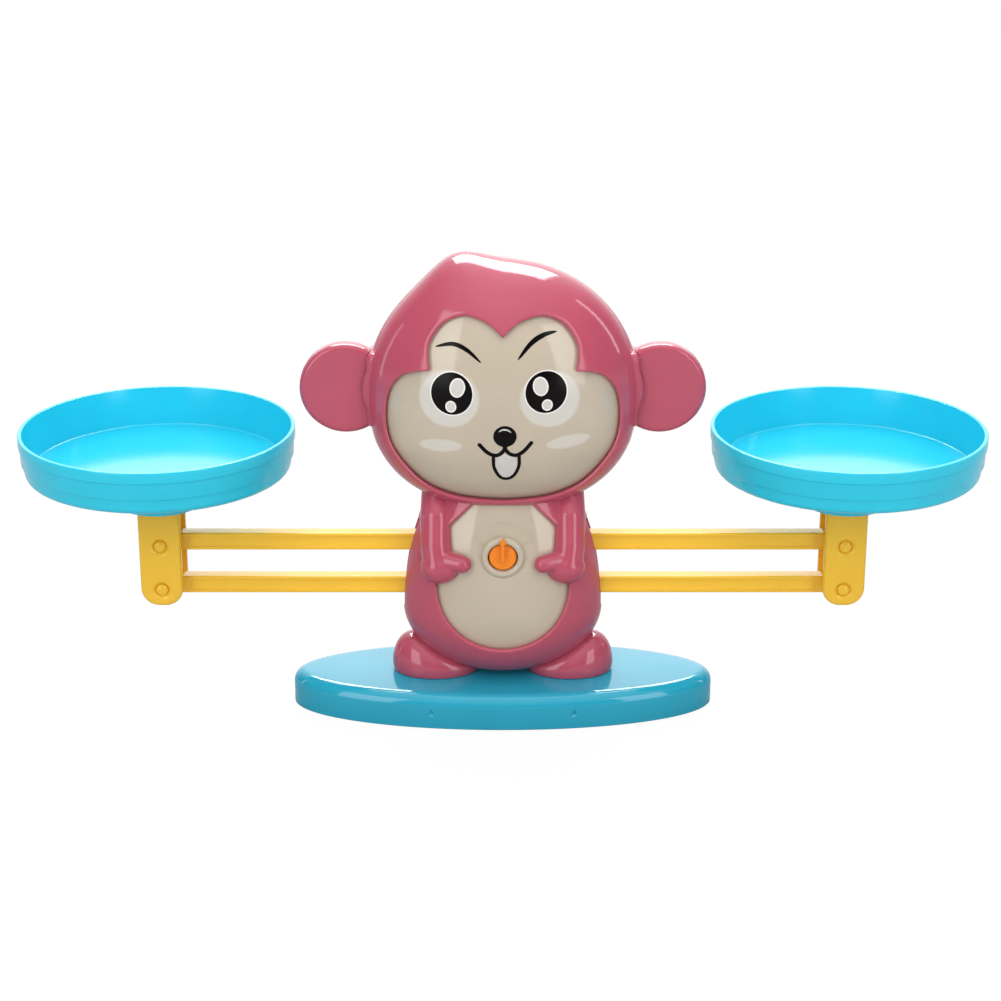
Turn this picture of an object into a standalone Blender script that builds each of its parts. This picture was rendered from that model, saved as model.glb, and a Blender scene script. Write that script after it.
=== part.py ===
"""Number balance: a moulded monkey on an oval base carries a two-beam parallelogram with two pans.

Units are metres. +Z is up, +X runs along the beams to the right pan, -Y is the side of the face.
The origin is the middle of the base's underside. The linkage is a Roberval balance: the upper and
the lower beam turn on two pins inside the body, one above the other, and each pair of beam ends
carries a hanger that stays upright while it rises and falls with its pan.
"""
import math

import bmesh
import bpy
from mathutils import Matrix, Vector

# Clearances
SEAT_GAP = 0.00030
RUNNING_GAP = 0.00010

# Oval base
BASE_HALF_WIDTH = 0.0750
BASE_HALF_DEPTH = 0.0262
BASE_HEIGHT = 0.0125
BASE_EDGE_RADIUS = 0.0045
BASE_WALL = 0.0022
BASE_RIB = 0.0016
BASE_RIB_PITCH = 0.0240
BASE_BOSS_RADIUS = 0.0042
BASE_DRAFT = 0.97

# Moulded shell
SHELL_WALL = 0.0020
BODY_HALF_WIDTH = 0.0353
BODY_HALF_DEPTH = 0.0214
BODY_DROP = 0.0255
BODY_RISE = 0.0600
BODY_LIFT = 0.0002
HEAD_HALF_WIDTH = 0.0470
HEAD_HALF_DEPTH = 0.0270
HEAD_RISE = 0.0457
HEAD_DROP = 0.0417
HEAD_ABOVE_BODY = 0.0792
HEAD_LOW_POWER = 2.35
TUFT_HEIGHT = 0.0049
TUFT_RADIUS = 0.0115
TUFT_OFFSET = 0.0165
FOOT_HALF_WIDTH = 0.0155
FOOT_HALF_DEPTH = 0.0110
FOOT_HALF_HEIGHT = 0.0094
FOOT_LEAN = 0.83
FOOT_CENTRE_HEIGHT = 0.0025
ARM_RADIUS = 0.0056
HAND_RADIUS = 0.0062
THUMB_RADIUS = 0.0031
THUMB_GAP = 0.0032
ARM_SUNK = 0.0011
THUMB_SUNK = 0.0004
BOSS_RADIUS = 0.0040

# Ears
EAR_RADIUS = 0.0159
EAR_THICKNESS = 0.0064
EAR_EDGE_RADIUS = 0.0020
EAR_REACH = 0.0071
EAR_LIFT = 0.0008
EAR_ROOT_HEIGHT = 0.0190
EAR_ROOT_DEPTH = 0.0050
EAR_FLANGE = 0.0018
COLLAR_RISE = 0.0015
COLLAR_DEPTH = 0.0130
COLLAR_HEIGHT = 0.0272

# Face and belly panels
PANEL_WALL = 0.0016
PANEL_FLANGE = 0.0022
DIAL_HOLE_RADIUS = 0.0052
DIAL_RING_RADIUS = 0.0075
DIAL_RING_HEIGHT = 0.0011

# Beams
BEAM_ARM = 0.1200
BEAM_HEIGHT = 0.0063
BEAM_DEPTH = 0.0050
BEAM_RECESS = 0.0004
BEAM_GROOVE_DEPTH = 0.0022
BEAM_LIP = 0.0012
BEAM_RIB = 0.0014
BEAM_RIB_PITCH = 0.0190
BEAM_HUB_RADIUS = 0.0036
BEAM_SPACING = 0.0163
UPPER_BEAM_ABOVE_BODY = 0.0236
TILT_LIMIT = math.radians(8.0)
SLOT_CLEARANCE = 0.0010

# Pivot pins
PIVOT_PIN_RADIUS = 0.0016
PIVOT_BOSS_RADIUS = 0.0040
HANGER_PIN_RADIUS = 0.0015
HANGER_PIN_HEAD_RADIUS = 0.00215
HANGER_PIN_HEAD = 0.0008
HANGER_PIN_RECESS_RADIUS = 0.0030

# Hangers
HANGER_WIDTH = 0.0148
HANGER_DEPTH = 0.0166
HANGER_PLATE = 0.0022
HANGER_RISE = 0.0240
HANGER_TAIL = 0.0059
HANGER_CORNER = 0.0064
HANGER_EDGE = 0.0006
HANGER_WEB = 0.0030
PLUG_SHOULDER = 0.0011
PLUG_HEIGHT = 0.0022

# Pans
PAN_RADIUS = 0.0478
PAN_DEPTH = 0.0155
PAN_TAPER = 0.0018
PAN_WALL = 0.0015
PAN_FLOOR = 0.0019
PAN_CORNER = 0.0024
PAN_BAND = 0.0004
PAN_LIP_HEIGHT = 0.0030
PAN_BAND_HEIGHT = 0.0040
PAN_SEAT_HEIGHT = 0.0018
PAN_BOSS_RADIUS = 0.0158
PAN_BOSS_TAPER = 0.0004
PAN_BOSS_WALL = 0.0016
PAN_BOSS_EDGE = 0.0006
PAN_SOCKET_DEPTH = 0.0100
PAN_SOCKET_RIB = 0.0016

# Pointer dial
DIAL_RADIUS = 0.0048
DIAL_SKIRT = 0.0080
DIAL_FACE = 0.0014
POINTER_WIDTH = 0.0013
POINTER_REACH = 0.0080
POINTER_THICKNESS = 0.0009

# Screws
SCREW_RADIUS = 0.0013
SCREW_HEAD_RADIUS = 0.0026
SCREW_HEAD = 0.0016
SCREW_GRIP = 0.0070
SCREW_FLOOR = 0.0030

# Places that follow from the sizes above
FOOT_SOLE = BASE_HEIGHT + SEAT_GAP
BODY_Z = FOOT_SOLE + BODY_DROP + BODY_LIFT
HEAD_Z = BODY_Z + HEAD_ABOVE_BODY
EAR_Z = HEAD_Z + EAR_LIFT
UPPER_Z = BODY_Z + UPPER_BEAM_ABOVE_BODY
LOWER_Z = UPPER_Z - BEAM_SPACING
PANEL_INSET = SHELL_WALL + SEAT_GAP
FOOT_X = BODY_HALF_WIDTH * 0.68
HUB_HALF = HANGER_DEPTH / 2 - HANGER_PLATE - SEAT_GAP
CENTRE_HUB_HALF = BEAM_DEPTH / 2 + SEAT_GAP
PIVOT_BOSS_FACE = CENTRE_HUB_HALF + SEAT_GAP
HEAD_BOSS = (HEAD_HALF_WIDTH * 0.70, HEAD_Z + HEAD_RISE * 0.47)
BODY_BOSS = (BODY_HALF_WIDTH * 0.71, BODY_Z - BODY_DROP * 0.29)
SLOT_HALF_DEPTH = BEAM_DEPTH / 2 + SLOT_CLEARANCE

# Half outline of the face window, as shares of the head's half width and of its rise or drop.
BROW_LOBE = [(0.000, 0.545), (0.074, 0.617), (0.162, 0.663), (0.290, 0.686),
             (0.435, 0.626), (0.532, 0.483), (0.540, 0.365), (0.526, 0.280)]
CHEEK_LOBE = [(0.526, 0.280), (0.620, 0.268), (0.736, 0.219), (0.828, 0.094), (0.860, -0.076),
              (0.852, -0.257), (0.806, -0.400), (0.698, -0.573), (0.545, -0.735),
              (0.315, -0.834), (0.000, -0.870)]
OUTLINE_STEPS = 3

# Half outline of the belly window's top, as shares of the body's half width and of its rise.
BELLY_SHOULDER = [(0.000, 0.745), (0.220, 0.745), (0.567, 0.542), (0.643, 0.450), (0.666, 0.333)]
BELLY_MIDDLE = 0.208
BELLY_FOOT = 0.443
BELLY_STEPS = 12

PINK = (0.500, 0.092, 0.150, 1.0)
BEIGE = (0.590, 0.510, 0.400, 1.0)
YELLOW = (0.800, 0.520, 0.060, 1.0)
SKY_BLUE = (0.045, 0.540, 0.780, 1.0)
SEA_BLUE = (0.035, 0.360, 0.540, 1.0)
ORANGE = (0.900, 0.280, 0.015, 1.0)
STEEL = (0.600, 0.600, 0.600, 1.0)


def clear_scene():
    """Remove what the start-up file holds."""
    for obj in list(bpy.data.objects):
        bpy.data.objects.remove(obj, do_unlink=True)


def plastic(name, colour, roughness=0.25, metallic=0.0):
    """A Principled material with one colour."""
    material = bpy.data.materials.new(name)
    material.use_nodes = True
    shader = material.node_tree.nodes["Principled BSDF"]
    shader.inputs["Base Color"].default_value = colour
    shader.inputs["Roughness"].default_value = roughness
    shader.inputs["Metallic"].default_value = metallic
    material.diffuse_color = colour
    return material


def solid(name, bm):
    """Turn a bmesh into an object, with its faces pointing out."""
    bmesh.ops.recalc_face_normals(bm, faces=bm.faces)
    mesh = bpy.data.meshes.new(name)
    bm.to_mesh(mesh)
    bm.free()
    obj = bpy.data.objects.new(name, mesh)
    bpy.context.scene.collection.objects.link(obj)
    return obj


def combine(target, tools, operation):
    """Apply one exact Boolean for each tool, and remove the tools."""
    for tool in tools:
        modifier = target.modifiers.new(operation.lower(), "BOOLEAN")
        modifier.operation = operation
        modifier.solver = "EXACT"
        modifier.object = tool
        depsgraph = bpy.context.evaluated_depsgraph_get()
        result = bpy.data.meshes.new_from_object(target.evaluated_get(depsgraph))
        target.modifiers.clear()
        target.data = result
        bpy.data.objects.remove(tool, do_unlink=True)
        tidy_mesh(target)
    return target


def tidy_mesh(obj, distance=1e-6):
    """Merge the points that a Boolean leaves on top of each other."""
    bm = bmesh.new()
    bm.from_mesh(obj.data)
    bmesh.ops.remove_doubles(bm, verts=bm.verts, dist=distance)
    bm.to_mesh(obj.data)
    bm.free()


def cut(target, *tools):
    """Take the tools away from the target."""
    return combine(target, tools, "DIFFERENCE")


def join(target, *tools):
    """Fuse the tools with the target into one body."""
    return combine(target, tools, "UNION")


def keep(target, tool):
    """Keep what the target and the tool share."""
    return combine(target, [tool], "INTERSECT")


def finish(obj, material, parent=None, smooth_angle=35.0):
    """Dress a finished piece, shade its round faces smooth and hang it on its axis."""
    obj.data.materials.clear()
    obj.data.materials.append(material)
    obj.data.shade_smooth()
    obj.data.set_sharp_from_angle(angle=math.radians(smooth_angle))
    if parent is not None:
        obj.parent = parent
    return obj


def axis_empty(name, place):
    """An empty on a joint's axis, which carries the pieces that turn there."""
    empty = bpy.data.objects.new(name, None)
    empty.location = place
    bpy.context.scene.collection.objects.link(empty)
    return empty


def block(low, high):
    """A box between two corners."""
    bm = bmesh.new()
    size = [high[i] - low[i] for i in range(3)]
    middle = [(high[i] + low[i]) / 2 for i in range(3)]
    bmesh.ops.create_cube(bm, size=1.0, matrix=Matrix.Translation(middle) @ Matrix.Diagonal((*size, 1.0)))
    return solid("block", bm)


def rod(radius, start, end, x, z, segments=24):
    """A round bar along Y from start to end, with its axis at x and z."""
    bm = bmesh.new()
    place = Matrix.Translation((x, (start + end) / 2, z)) @ Matrix.Rotation(math.pi / 2, 4, "X")
    bmesh.ops.create_cone(bm, cap_ends=True, segments=segments, radius1=radius, radius2=radius,
                          depth=end - start, matrix=place)
    return solid("rod", bm)


def post(radius, low, high, x, y, segments=24):
    """A round bar along Z."""
    bm = bmesh.new()
    place = Matrix.Translation((x, y, (low + high) / 2))
    bmesh.ops.create_cone(bm, cap_ends=True, segments=segments, radius1=radius, radius2=radius,
                          depth=high - low, matrix=place)
    return solid("post", bm)


def prism(outline, start, end, edge=0.0):
    """Extrude an outline of (x, z) points along Y, with its end edges rounded by edge."""
    bm = bmesh.new()
    loop = [bm.verts.new((x, start, z)) for x, z in outline]
    cap = bm.faces.new(loop)
    moved = bmesh.ops.extrude_face_region(bm, geom=[cap])["geom"]
    far = [item for item in moved if isinstance(item, bmesh.types.BMVert)]
    bmesh.ops.translate(bm, verts=far, vec=(0.0, end - start, 0.0))
    if edge > 0.0:
        rims = [item for item in bm.edges if abs(item.verts[0].co.y - item.verts[1].co.y) < 1e-9]
        bmesh.ops.bevel(bm, geom=rims, offset=edge, segments=2, profile=0.5, affect="EDGES")
    return solid("prism", bm)


def lathe(profile, segments):
    """Spin a profile of (radius, z) points round Z. Its two ends lie on the axis."""
    bm = bmesh.new()
    verts = [bm.verts.new((radius, 0.0, z)) for radius, z in profile]
    edges = [bm.edges.new(pair) for pair in zip(verts, verts[1:])]
    bmesh.ops.spin(bm, geom=verts + edges, axis=(0, 0, 1), cent=(0, 0, 0), steps=segments,
                   angle=2 * math.pi, use_merge=True)
    bmesh.ops.remove_doubles(bm, verts=bm.verts, dist=1e-6)
    return solid("lathe", bm)


def arc(centre, radius, start, end, steps):
    """Points of an arc in degrees, as (radius, z) pairs of a profile."""
    points = []
    for index in range(steps + 1):
        angle = math.radians(start + (end - start) * index / steps)
        points.append((centre[0] + radius * math.cos(angle), centre[1] + radius * math.sin(angle)))
    return points


def smooth_run(points, steps):
    """A Catmull-Rom curve through the points, without its last point."""
    padded = [points[0]] + points + [points[-1]]
    run = []
    for index in range(1, len(padded) - 2):
        before, here, there, after = (Vector(point) for point in padded[index - 1:index + 3])
        for step in range(steps):
            t = step / steps
            run.append(0.5 * (2 * here + (there - before) * t
                              + (2 * before - 5 * here + 4 * there - after) * t ** 2
                              + (3 * here - before - 3 * there + after) * t ** 3))
    return run


def widen(outline, margin):
    """Move a closed outline outwards by a margin, and leave out what would fold over in a notch."""
    corners = [Vector(point) for point in outline]
    widened = []
    for index, here in enumerate(corners):
        first = (here - corners[index - 1]).normalized()
        second = (corners[(index + 1) % len(corners)] - here).normalized()
        normal = Vector((first.y + second.y, -first.x - second.x)).normalized()
        moved = here + normal * margin
        if min((moved - corner).length for corner in corners) > 0.98 * margin:
            widened.append(tuple(moved))
    return widened


def rounded_form(place, half_width, half_depth, rise, drop, inset=0.0, low_power=2.0,
                 segments=48, rings=24, warp=None):
    """A closed egg of four half axes, squarer below its middle where low_power is above 2."""
    bm = bmesh.new()
    bmesh.ops.create_uvsphere(bm, u_segments=segments, v_segments=rings, radius=1.0)
    for vert in bm.verts:
        x, y, z = vert.co
        power = 2.0 + (low_power - 2.0) * min(1.0, max(0.0, -z / 0.4))
        reach = (abs(x) ** power + abs(y) ** power + abs(z) ** power) ** (-1.0 / power)
        height = (rise if z > 0.0 else drop) - inset
        vert.co = Vector((x * (half_width - inset), y * (half_depth - inset), z * height)) * reach
        if warp is not None:
            vert.co = warp(vert.co)
    bmesh.ops.translate(bm, verts=bm.verts, vec=place)
    return solid("form", bm)


def tuft(point):
    """Raise the low crest of hair on the crown, a little left of the middle."""
    if point.z <= 0.0:
        return point
    offset = Vector((point.x + TUFT_OFFSET, point.y * 0.6))
    swell = TUFT_HEIGHT * math.exp(-(offset.length / TUFT_RADIUS) ** 2)
    return point + Vector((0.0, 0.0, swell))


def head_form(inset, segments=48, rings=26):
    """The head, drawn in by inset."""
    return rounded_form((0.0, 0.0, HEAD_Z), HEAD_HALF_WIDTH, HEAD_HALF_DEPTH, HEAD_RISE, HEAD_DROP,
                        inset, HEAD_LOW_POWER, segments, rings, tuft)


def body_form(inset, segments=44, rings=26):
    """The pear-shaped body, drawn in by inset. Its top reaches up into the head."""
    return rounded_form((0.0, 0.0, BODY_Z), BODY_HALF_WIDTH, BODY_HALF_DEPTH, BODY_RISE, BODY_DROP,
                        inset, 2.0, segments, rings)


def foot_form(side, inset, segments=24, rings=14):
    """A foot whose dome is high on its outer side and runs out towards the middle."""
    def lean(point):
        if point.z <= 0.0:
            return point
        outward = point.x * side / FOOT_HALF_WIDTH
        return Vector((point.x, point.y, point.z * (1.0 + FOOT_LEAN * outward)))

    place = (side * FOOT_X, 0.0, FOOT_SOLE + FOOT_CENTRE_HEIGHT)
    return rounded_form(place, FOOT_HALF_WIDTH, FOOT_HALF_DEPTH, FOOT_HALF_HEIGHT,
                        FOOT_HALF_HEIGHT, inset, 2.0, segments, rings, lean)


def ear_collar(side, margin=0.0):
    """The raised band of the head round an ear's root."""
    bm = bmesh.new()
    reach = HEAD_HALF_WIDTH + COLLAR_RISE + margin
    inner = HEAD_HALF_WIDTH - 2.5 * SHELL_WALL
    place = Matrix.Translation((side * (reach + inner) / 2, 0.0, EAR_Z))
    size = Matrix.Diagonal((reach - inner, COLLAR_DEPTH + 2 * margin, COLLAR_HEIGHT + 2 * margin, 1.0))
    bmesh.ops.create_cube(bm, size=1.0, matrix=place @ size)
    bmesh.ops.bevel(bm, geom=list(bm.edges), offset=COLLAR_RISE, segments=3, profile=0.5, affect="EDGES")
    return solid("collar", bm)


def body_surface_y(x, z):
    """How far the front of the body reaches at x and z."""
    height = BODY_RISE if z > BODY_Z else BODY_DROP
    share = 1.0 - (x / BODY_HALF_WIDTH) ** 2 - ((z - BODY_Z) / height) ** 2
    return -BODY_HALF_DEPTH * math.sqrt(max(share, 0.0))


def capsule(path, radii, segments=14):
    """A limb: a smooth tube along the path that ends in round tips."""
    bm = bmesh.new()
    rings = []
    stations = limb_stations(path, radii)
    for centre, direction, radius in stations[1:-1]:
        turn = direction.to_track_quat("Z", "Y").to_matrix().to_4x4()
        made = bmesh.ops.create_circle(bm, segments=segments, radius=radius,
                                       matrix=Matrix.Translation(centre) @ turn)
        rings.append(made["verts"])
    for lower, upper in zip(rings, rings[1:]):
        for index in range(segments):
            after = (index + 1) % segments
            bm.faces.new((lower[index], lower[after], upper[after], upper[index]))
    for ring, tip in ((rings[0], stations[0]), (rings[-1], stations[-1])):
        point = bm.verts.new(tip[0])
        for index in range(segments):
            bm.faces.new((ring[index], ring[(index + 1) % segments], point))
    return solid("capsule", bm)


def limb_stations(path, radii, tip_steps=3):
    """Centre, direction and radius of each ring along a limb, with its round tips."""
    points = [Vector(point) for point in path]
    stations = []
    first = (points[1] - points[0]).normalized()
    last = (points[-1] - points[-2]).normalized()
    for step in range(tip_steps):
        angle = math.pi / 2 * step / tip_steps
        stations.append((points[0] - first * radii[0] * math.cos(angle), first,
                         radii[0] * math.sin(angle)))
    for index, point in enumerate(points):
        ahead = points[min(index + 1, len(points) - 1)] - points[max(index - 1, 0)]
        stations.append((point, ahead.normalized(), radii[index]))
    for step in range(tip_steps - 1, -1, -1):
        angle = math.pi / 2 * step / tip_steps
        stations.append((points[-1] + last * radii[-1] * math.cos(angle), last,
                         radii[-1] * math.sin(angle)))
    return stations


def arm_parts(side):
    """One arm in relief on the chest: a sleeve that hangs from the shoulder, a hand and a thumb."""
    arm_x = BODY_HALF_WIDTH * 0.66
    hand_z = UPPER_Z - ARM_RADIUS * 0.7
    shoulder_z = HEAD_Z - HEAD_DROP + ARM_RADIUS

    def on_body(x, z, sunk):
        return (side * x, body_surface_y(x, z) + sunk, z)

    middle_z = (shoulder_z + hand_z) / 2
    sleeve = capsule([on_body(arm_x, shoulder_z, ARM_SUNK), on_body(arm_x, middle_z, ARM_SUNK),
                      on_body(arm_x, hand_z + HAND_RADIUS * 0.5, ARM_SUNK),
                      on_body(arm_x - HAND_RADIUS * 0.2, hand_z - ARM_SUNK / 2, ARM_SUNK)],
                     [ARM_RADIUS, ARM_RADIUS, ARM_RADIUS, HAND_RADIUS * 0.96])
    thumb_x = arm_x - HAND_RADIUS * 0.5
    tip_x = DIAL_RING_RADIUS + THUMB_RADIUS + THUMB_GAP
    thumb = capsule([on_body(thumb_x, hand_z + THUMB_RADIUS * 0.5, THUMB_SUNK),
                     on_body(tip_x, hand_z + THUMB_RADIUS * 0.3, THUMB_SUNK)],
                    [THUMB_RADIUS, THUMB_RADIUS], segments=12)
    return [sleeve, thumb]


def mirrored(right, margin):
    """Close a right half outline, which runs from the top to the bottom, with its mirror image."""
    left = [(-x, z) for x, z in reversed(right[1:-1])]
    outline = list(reversed(right + left))
    return widen(outline, margin) if margin else outline


def face_outline(margin=0.0):
    """The face window: two brow lobes over two cheeks, symmetrical about the nose."""
    half = smooth_run(BROW_LOBE, OUTLINE_STEPS) + smooth_run(CHEEK_LOBE, OUTLINE_STEPS)
    half.append(Vector(CHEEK_LOBE[-1]))
    right = []
    for x, share in half:
        height = HEAD_RISE if share > 0.0 else HEAD_DROP
        right.append((x * HEAD_HALF_WIDTH, HEAD_Z + share * height))
    return mirrored(right, margin)


def belly_outline(margin=0.0):
    """The belly window: slanting shoulders that hide under the chin, over a half ellipse."""
    right = [(x * BODY_HALF_WIDTH, BODY_Z + share * BODY_RISE) for x, share in BELLY_SHOULDER]
    middle = BODY_Z + BELLY_MIDDLE * BODY_RISE
    drop = middle - BODY_Z + BELLY_FOOT * BODY_DROP
    width = right[-1][0]
    right += [(x * width, middle + share * drop) for x, share in arc((0.0, 0.0), 1.0, 0, -90, BELLY_STEPS)]
    return mirrored(right, margin)


def beam_swing(x):
    """How far a point of a beam at x rises or falls at full tilt."""
    return x * math.sin(TILT_LIMIT)


def monkey_shell():
    """Head, body, arms and feet as one hollow moulding, before it is parted into two halves."""
    front = -2 * HEAD_HALF_DEPTH
    head = cut(head_form(0.0), prism(face_outline(), front, -SHELL_WALL / 2))
    body = cut(body_form(0.0), prism(belly_outline(), front, -SHELL_WALL / 2))
    head = join(head, ear_collar(-1), ear_collar(1))
    shell = join(body, head, foot_form(-1, 0.0), foot_form(1, 0.0))
    shell = join(shell, *arm_parts(-1), *arm_parts(1))

    reach = 2 * HEAD_HALF_DEPTH
    head_room = head_form(SHELL_WALL, 36, 20)
    body_room = body_form(SHELL_WALL, 36, 20)
    for side in (-1, 1):
        head_room = cut(head_room, rod(BOSS_RADIUS, -reach, reach, side * HEAD_BOSS[0], HEAD_BOSS[1], 16))
        body_room = cut(body_room, rod(BOSS_RADIUS, -reach, reach, side * BODY_BOSS[0], BODY_BOSS[1], 16))
    for height in (UPPER_Z, LOWER_Z):
        body_room = cut(body_room, rod(PIVOT_BOSS_RADIUS, PIVOT_BOSS_FACE, reach, 0.0, height, 20))
    shell = cut(shell, head_room, body_room)

    for side in (-1, 1):
        foot_room = foot_form(side, SHELL_WALL, 20, 12)
        foot_room = cut(foot_room, post(BOSS_RADIUS, 0.0, HEAD_Z, side * FOOT_X, FOOT_HALF_DEPTH * 0.45, 16))
        shell = cut(shell, foot_room)
    wide = 2 * HEAD_HALF_WIDTH
    shell = cut(shell, block((-wide, -reach, 0.0), (wide, reach, FOOT_SOLE)))
    return cut(shell, *shell_openings())


def shell_openings():
    """Slots for the beams and ears, and the bores for pins and screws."""
    tools = []
    swing = beam_swing(BODY_HALF_WIDTH) + BEAM_HEIGHT / 2 + SLOT_CLEARANCE
    deep = 2 * HEAD_HALF_DEPTH
    for side in (-1, 1):
        inner, outer = sorted((side * BODY_HALF_WIDTH * 0.62, side * BODY_HALF_WIDTH * 1.3))
        tools.append(block((inner, -SLOT_HALF_DEPTH, LOWER_Z - swing),
                           (outer, SLOT_HALF_DEPTH, UPPER_Z + swing)))
        inner, outer = sorted((side * (HEAD_HALF_WIDTH - 3 * SHELL_WALL), side * HEAD_HALF_WIDTH * 1.1))
        half_depth = EAR_ROOT_DEPTH / 2 + SEAT_GAP
        half_height = EAR_ROOT_HEIGHT / 2 + SEAT_GAP
        tools.append(block((inner, -half_depth, EAR_Z - half_height), (outer, half_depth, EAR_Z + half_height)))
        for x, z in (HEAD_BOSS, BODY_BOSS):
            tools.append(rod(SCREW_RADIUS + RUNNING_GAP, -SCREW_GRIP - SEAT_GAP, deep, side * x, z, 12))
            tools.append(rod(SCREW_HEAD_RADIUS + SEAT_GAP, SCREW_FLOOR, deep, side * x, z, 16))
        tools.append(post(SCREW_RADIUS + RUNNING_GAP, 0.0, FOOT_SOLE + SCREW_GRIP * 0.8,
                          side * FOOT_X, FOOT_HALF_DEPTH * 0.45, 12))
    for height in (UPPER_Z, LOWER_Z):
        tools.append(rod(PIVOT_PIN_RADIUS + RUNNING_GAP, 0.0, BODY_HALF_DEPTH - 2 * SHELL_WALL, 0.0, height))
    return tools


def half_space(front):
    """A block that holds everything on one side of the parting plane."""
    wide = 2 * HEAD_HALF_WIDTH
    deep = 3 * HEAD_HALF_DEPTH
    high = HEAD_Z + 2 * HEAD_RISE
    if front:
        return block((-wide, -deep, 0.0), (wide, -SEAT_GAP / 2, high))
    return block((-wide, SEAT_GAP / 2, 0.0), (wide, deep, high))


def twin(obj):
    """A second object with a mesh of its own."""
    copy = obj.copy()
    copy.data = obj.data.copy()
    bpy.context.scene.collection.objects.link(copy)
    return copy


def make_shells(material):
    """Part the monkey at the plane of the beams into a front and a back shell."""
    whole = monkey_shell()
    front = keep(twin(whole), half_space(True))
    back = keep(whole, half_space(False))
    front.name = "front_shell"
    back.name = "back_shell"
    finish(front, material)
    finish(back, material)


def make_face_panel(material):
    """A curved panel that seats behind the face window with a flange all round."""
    back = -EAR_ROOT_DEPTH - 2 * SEAT_GAP
    panel = keep(head_form(PANEL_INSET), prism(face_outline(PANEL_FLANGE), -2 * HEAD_HALF_DEPTH, back))
    panel = cut(panel, head_form(PANEL_INSET + PANEL_WALL, 36, 20))
    panel.name = "face_panel"
    finish(panel, material)


def ring_face_y():
    """Front face of the raised ring round the dial."""
    depth = (BODY_HALF_DEPTH - PANEL_INSET) * math.sqrt(1.0 - ((UPPER_Z - BODY_Z) / (BODY_RISE - PANEL_INSET)) ** 2)
    return -depth - DIAL_RING_HEIGHT


def make_belly_panel(material):
    """The belly panel, with the dial's ring and hole, and a boss behind it for the lower pin."""
    inner = body_form(PANEL_INSET + PANEL_WALL, 36, 20)
    inner = cut(inner, rod(PIVOT_BOSS_RADIUS, -BODY_HALF_DEPTH, -PIVOT_BOSS_FACE, 0.0, LOWER_Z, 20))
    inner = cut(inner, rod(DIAL_RING_RADIUS, -BODY_HALF_DEPTH, ring_face_y() + 3 * DIAL_RING_HEIGHT, 0.0, UPPER_Z, 32))
    panel = body_form(PANEL_INSET)
    ring = rod(DIAL_RING_RADIUS, ring_face_y(), ring_face_y() + 3 * DIAL_RING_HEIGHT, 0.0, UPPER_Z, 32)
    panel = join(panel, ring)
    panel = keep(panel, prism(belly_outline(PANEL_FLANGE), -2 * BODY_HALF_DEPTH, -PIVOT_BOSS_FACE))
    panel = cut(panel, inner, head_form(SHELL_WALL))
    panel = cut(panel, rod(DIAL_HOLE_RADIUS, -2 * BODY_HALF_DEPTH, 0.0, 0.0, UPPER_Z, 32))
    bore_end = ring_face_y() + 3 * PANEL_WALL
    panel = cut(panel, rod(PIVOT_PIN_RADIUS + RUNNING_GAP, bore_end, 0.0, 0.0, LOWER_Z))
    panel.name = "belly_panel"
    finish(panel, material)


def make_ear(side, material):
    """A flat round ear whose root is trapped between the shells by its inner flange."""
    centre_x = side * (HEAD_HALF_WIDTH + EAR_REACH)
    bm = bmesh.new()
    place = Matrix.Translation((centre_x, 0.0, EAR_Z)) @ Matrix.Rotation(math.pi / 2, 4, "X")
    bmesh.ops.create_cone(bm, cap_ends=True, segments=40, radius1=EAR_RADIUS, radius2=EAR_RADIUS,
                          depth=EAR_THICKNESS, matrix=place)
    rims = [edge for edge in bm.edges if abs(edge.verts[0].co.y - edge.verts[1].co.y) < 1e-9]
    bmesh.ops.bevel(bm, geom=rims, offset=EAR_EDGE_RADIUS, segments=3, profile=0.5, affect="EDGES")
    ear = solid("ear", bm)
    ear = cut(ear, head_form(-SEAT_GAP), ear_collar(side, SEAT_GAP))
    flange_height = EAR_ROOT_HEIGHT / 2
    room = 1.0 - (EAR_ROOT_DEPTH / (HEAD_HALF_DEPTH - SHELL_WALL)) ** 2
    room -= ((flange_height / 2 + EAR_LIFT) / (HEAD_RISE - SHELL_WALL)) ** 2
    flange_out = side * ((HEAD_HALF_WIDTH - SHELL_WALL) * math.sqrt(room) - 2 * SEAT_GAP)
    flange_in = flange_out - side * EAR_FLANGE
    low, high = sorted((flange_in, centre_x))
    root = block((low, -EAR_ROOT_DEPTH / 2, EAR_Z - EAR_ROOT_HEIGHT / 2),
                 (high, EAR_ROOT_DEPTH / 2, EAR_Z + EAR_ROOT_HEIGHT / 2))
    low, high = sorted((flange_in, flange_out))
    flange = block((low, -EAR_ROOT_DEPTH, EAR_Z - flange_height / 2),
                   (high, EAR_ROOT_DEPTH, EAR_Z + flange_height / 2))
    ear = join(ear, root, flange)
    ear.name = "left_ear" if side < 0 else "right_ear"
    finish(ear, material)


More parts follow.
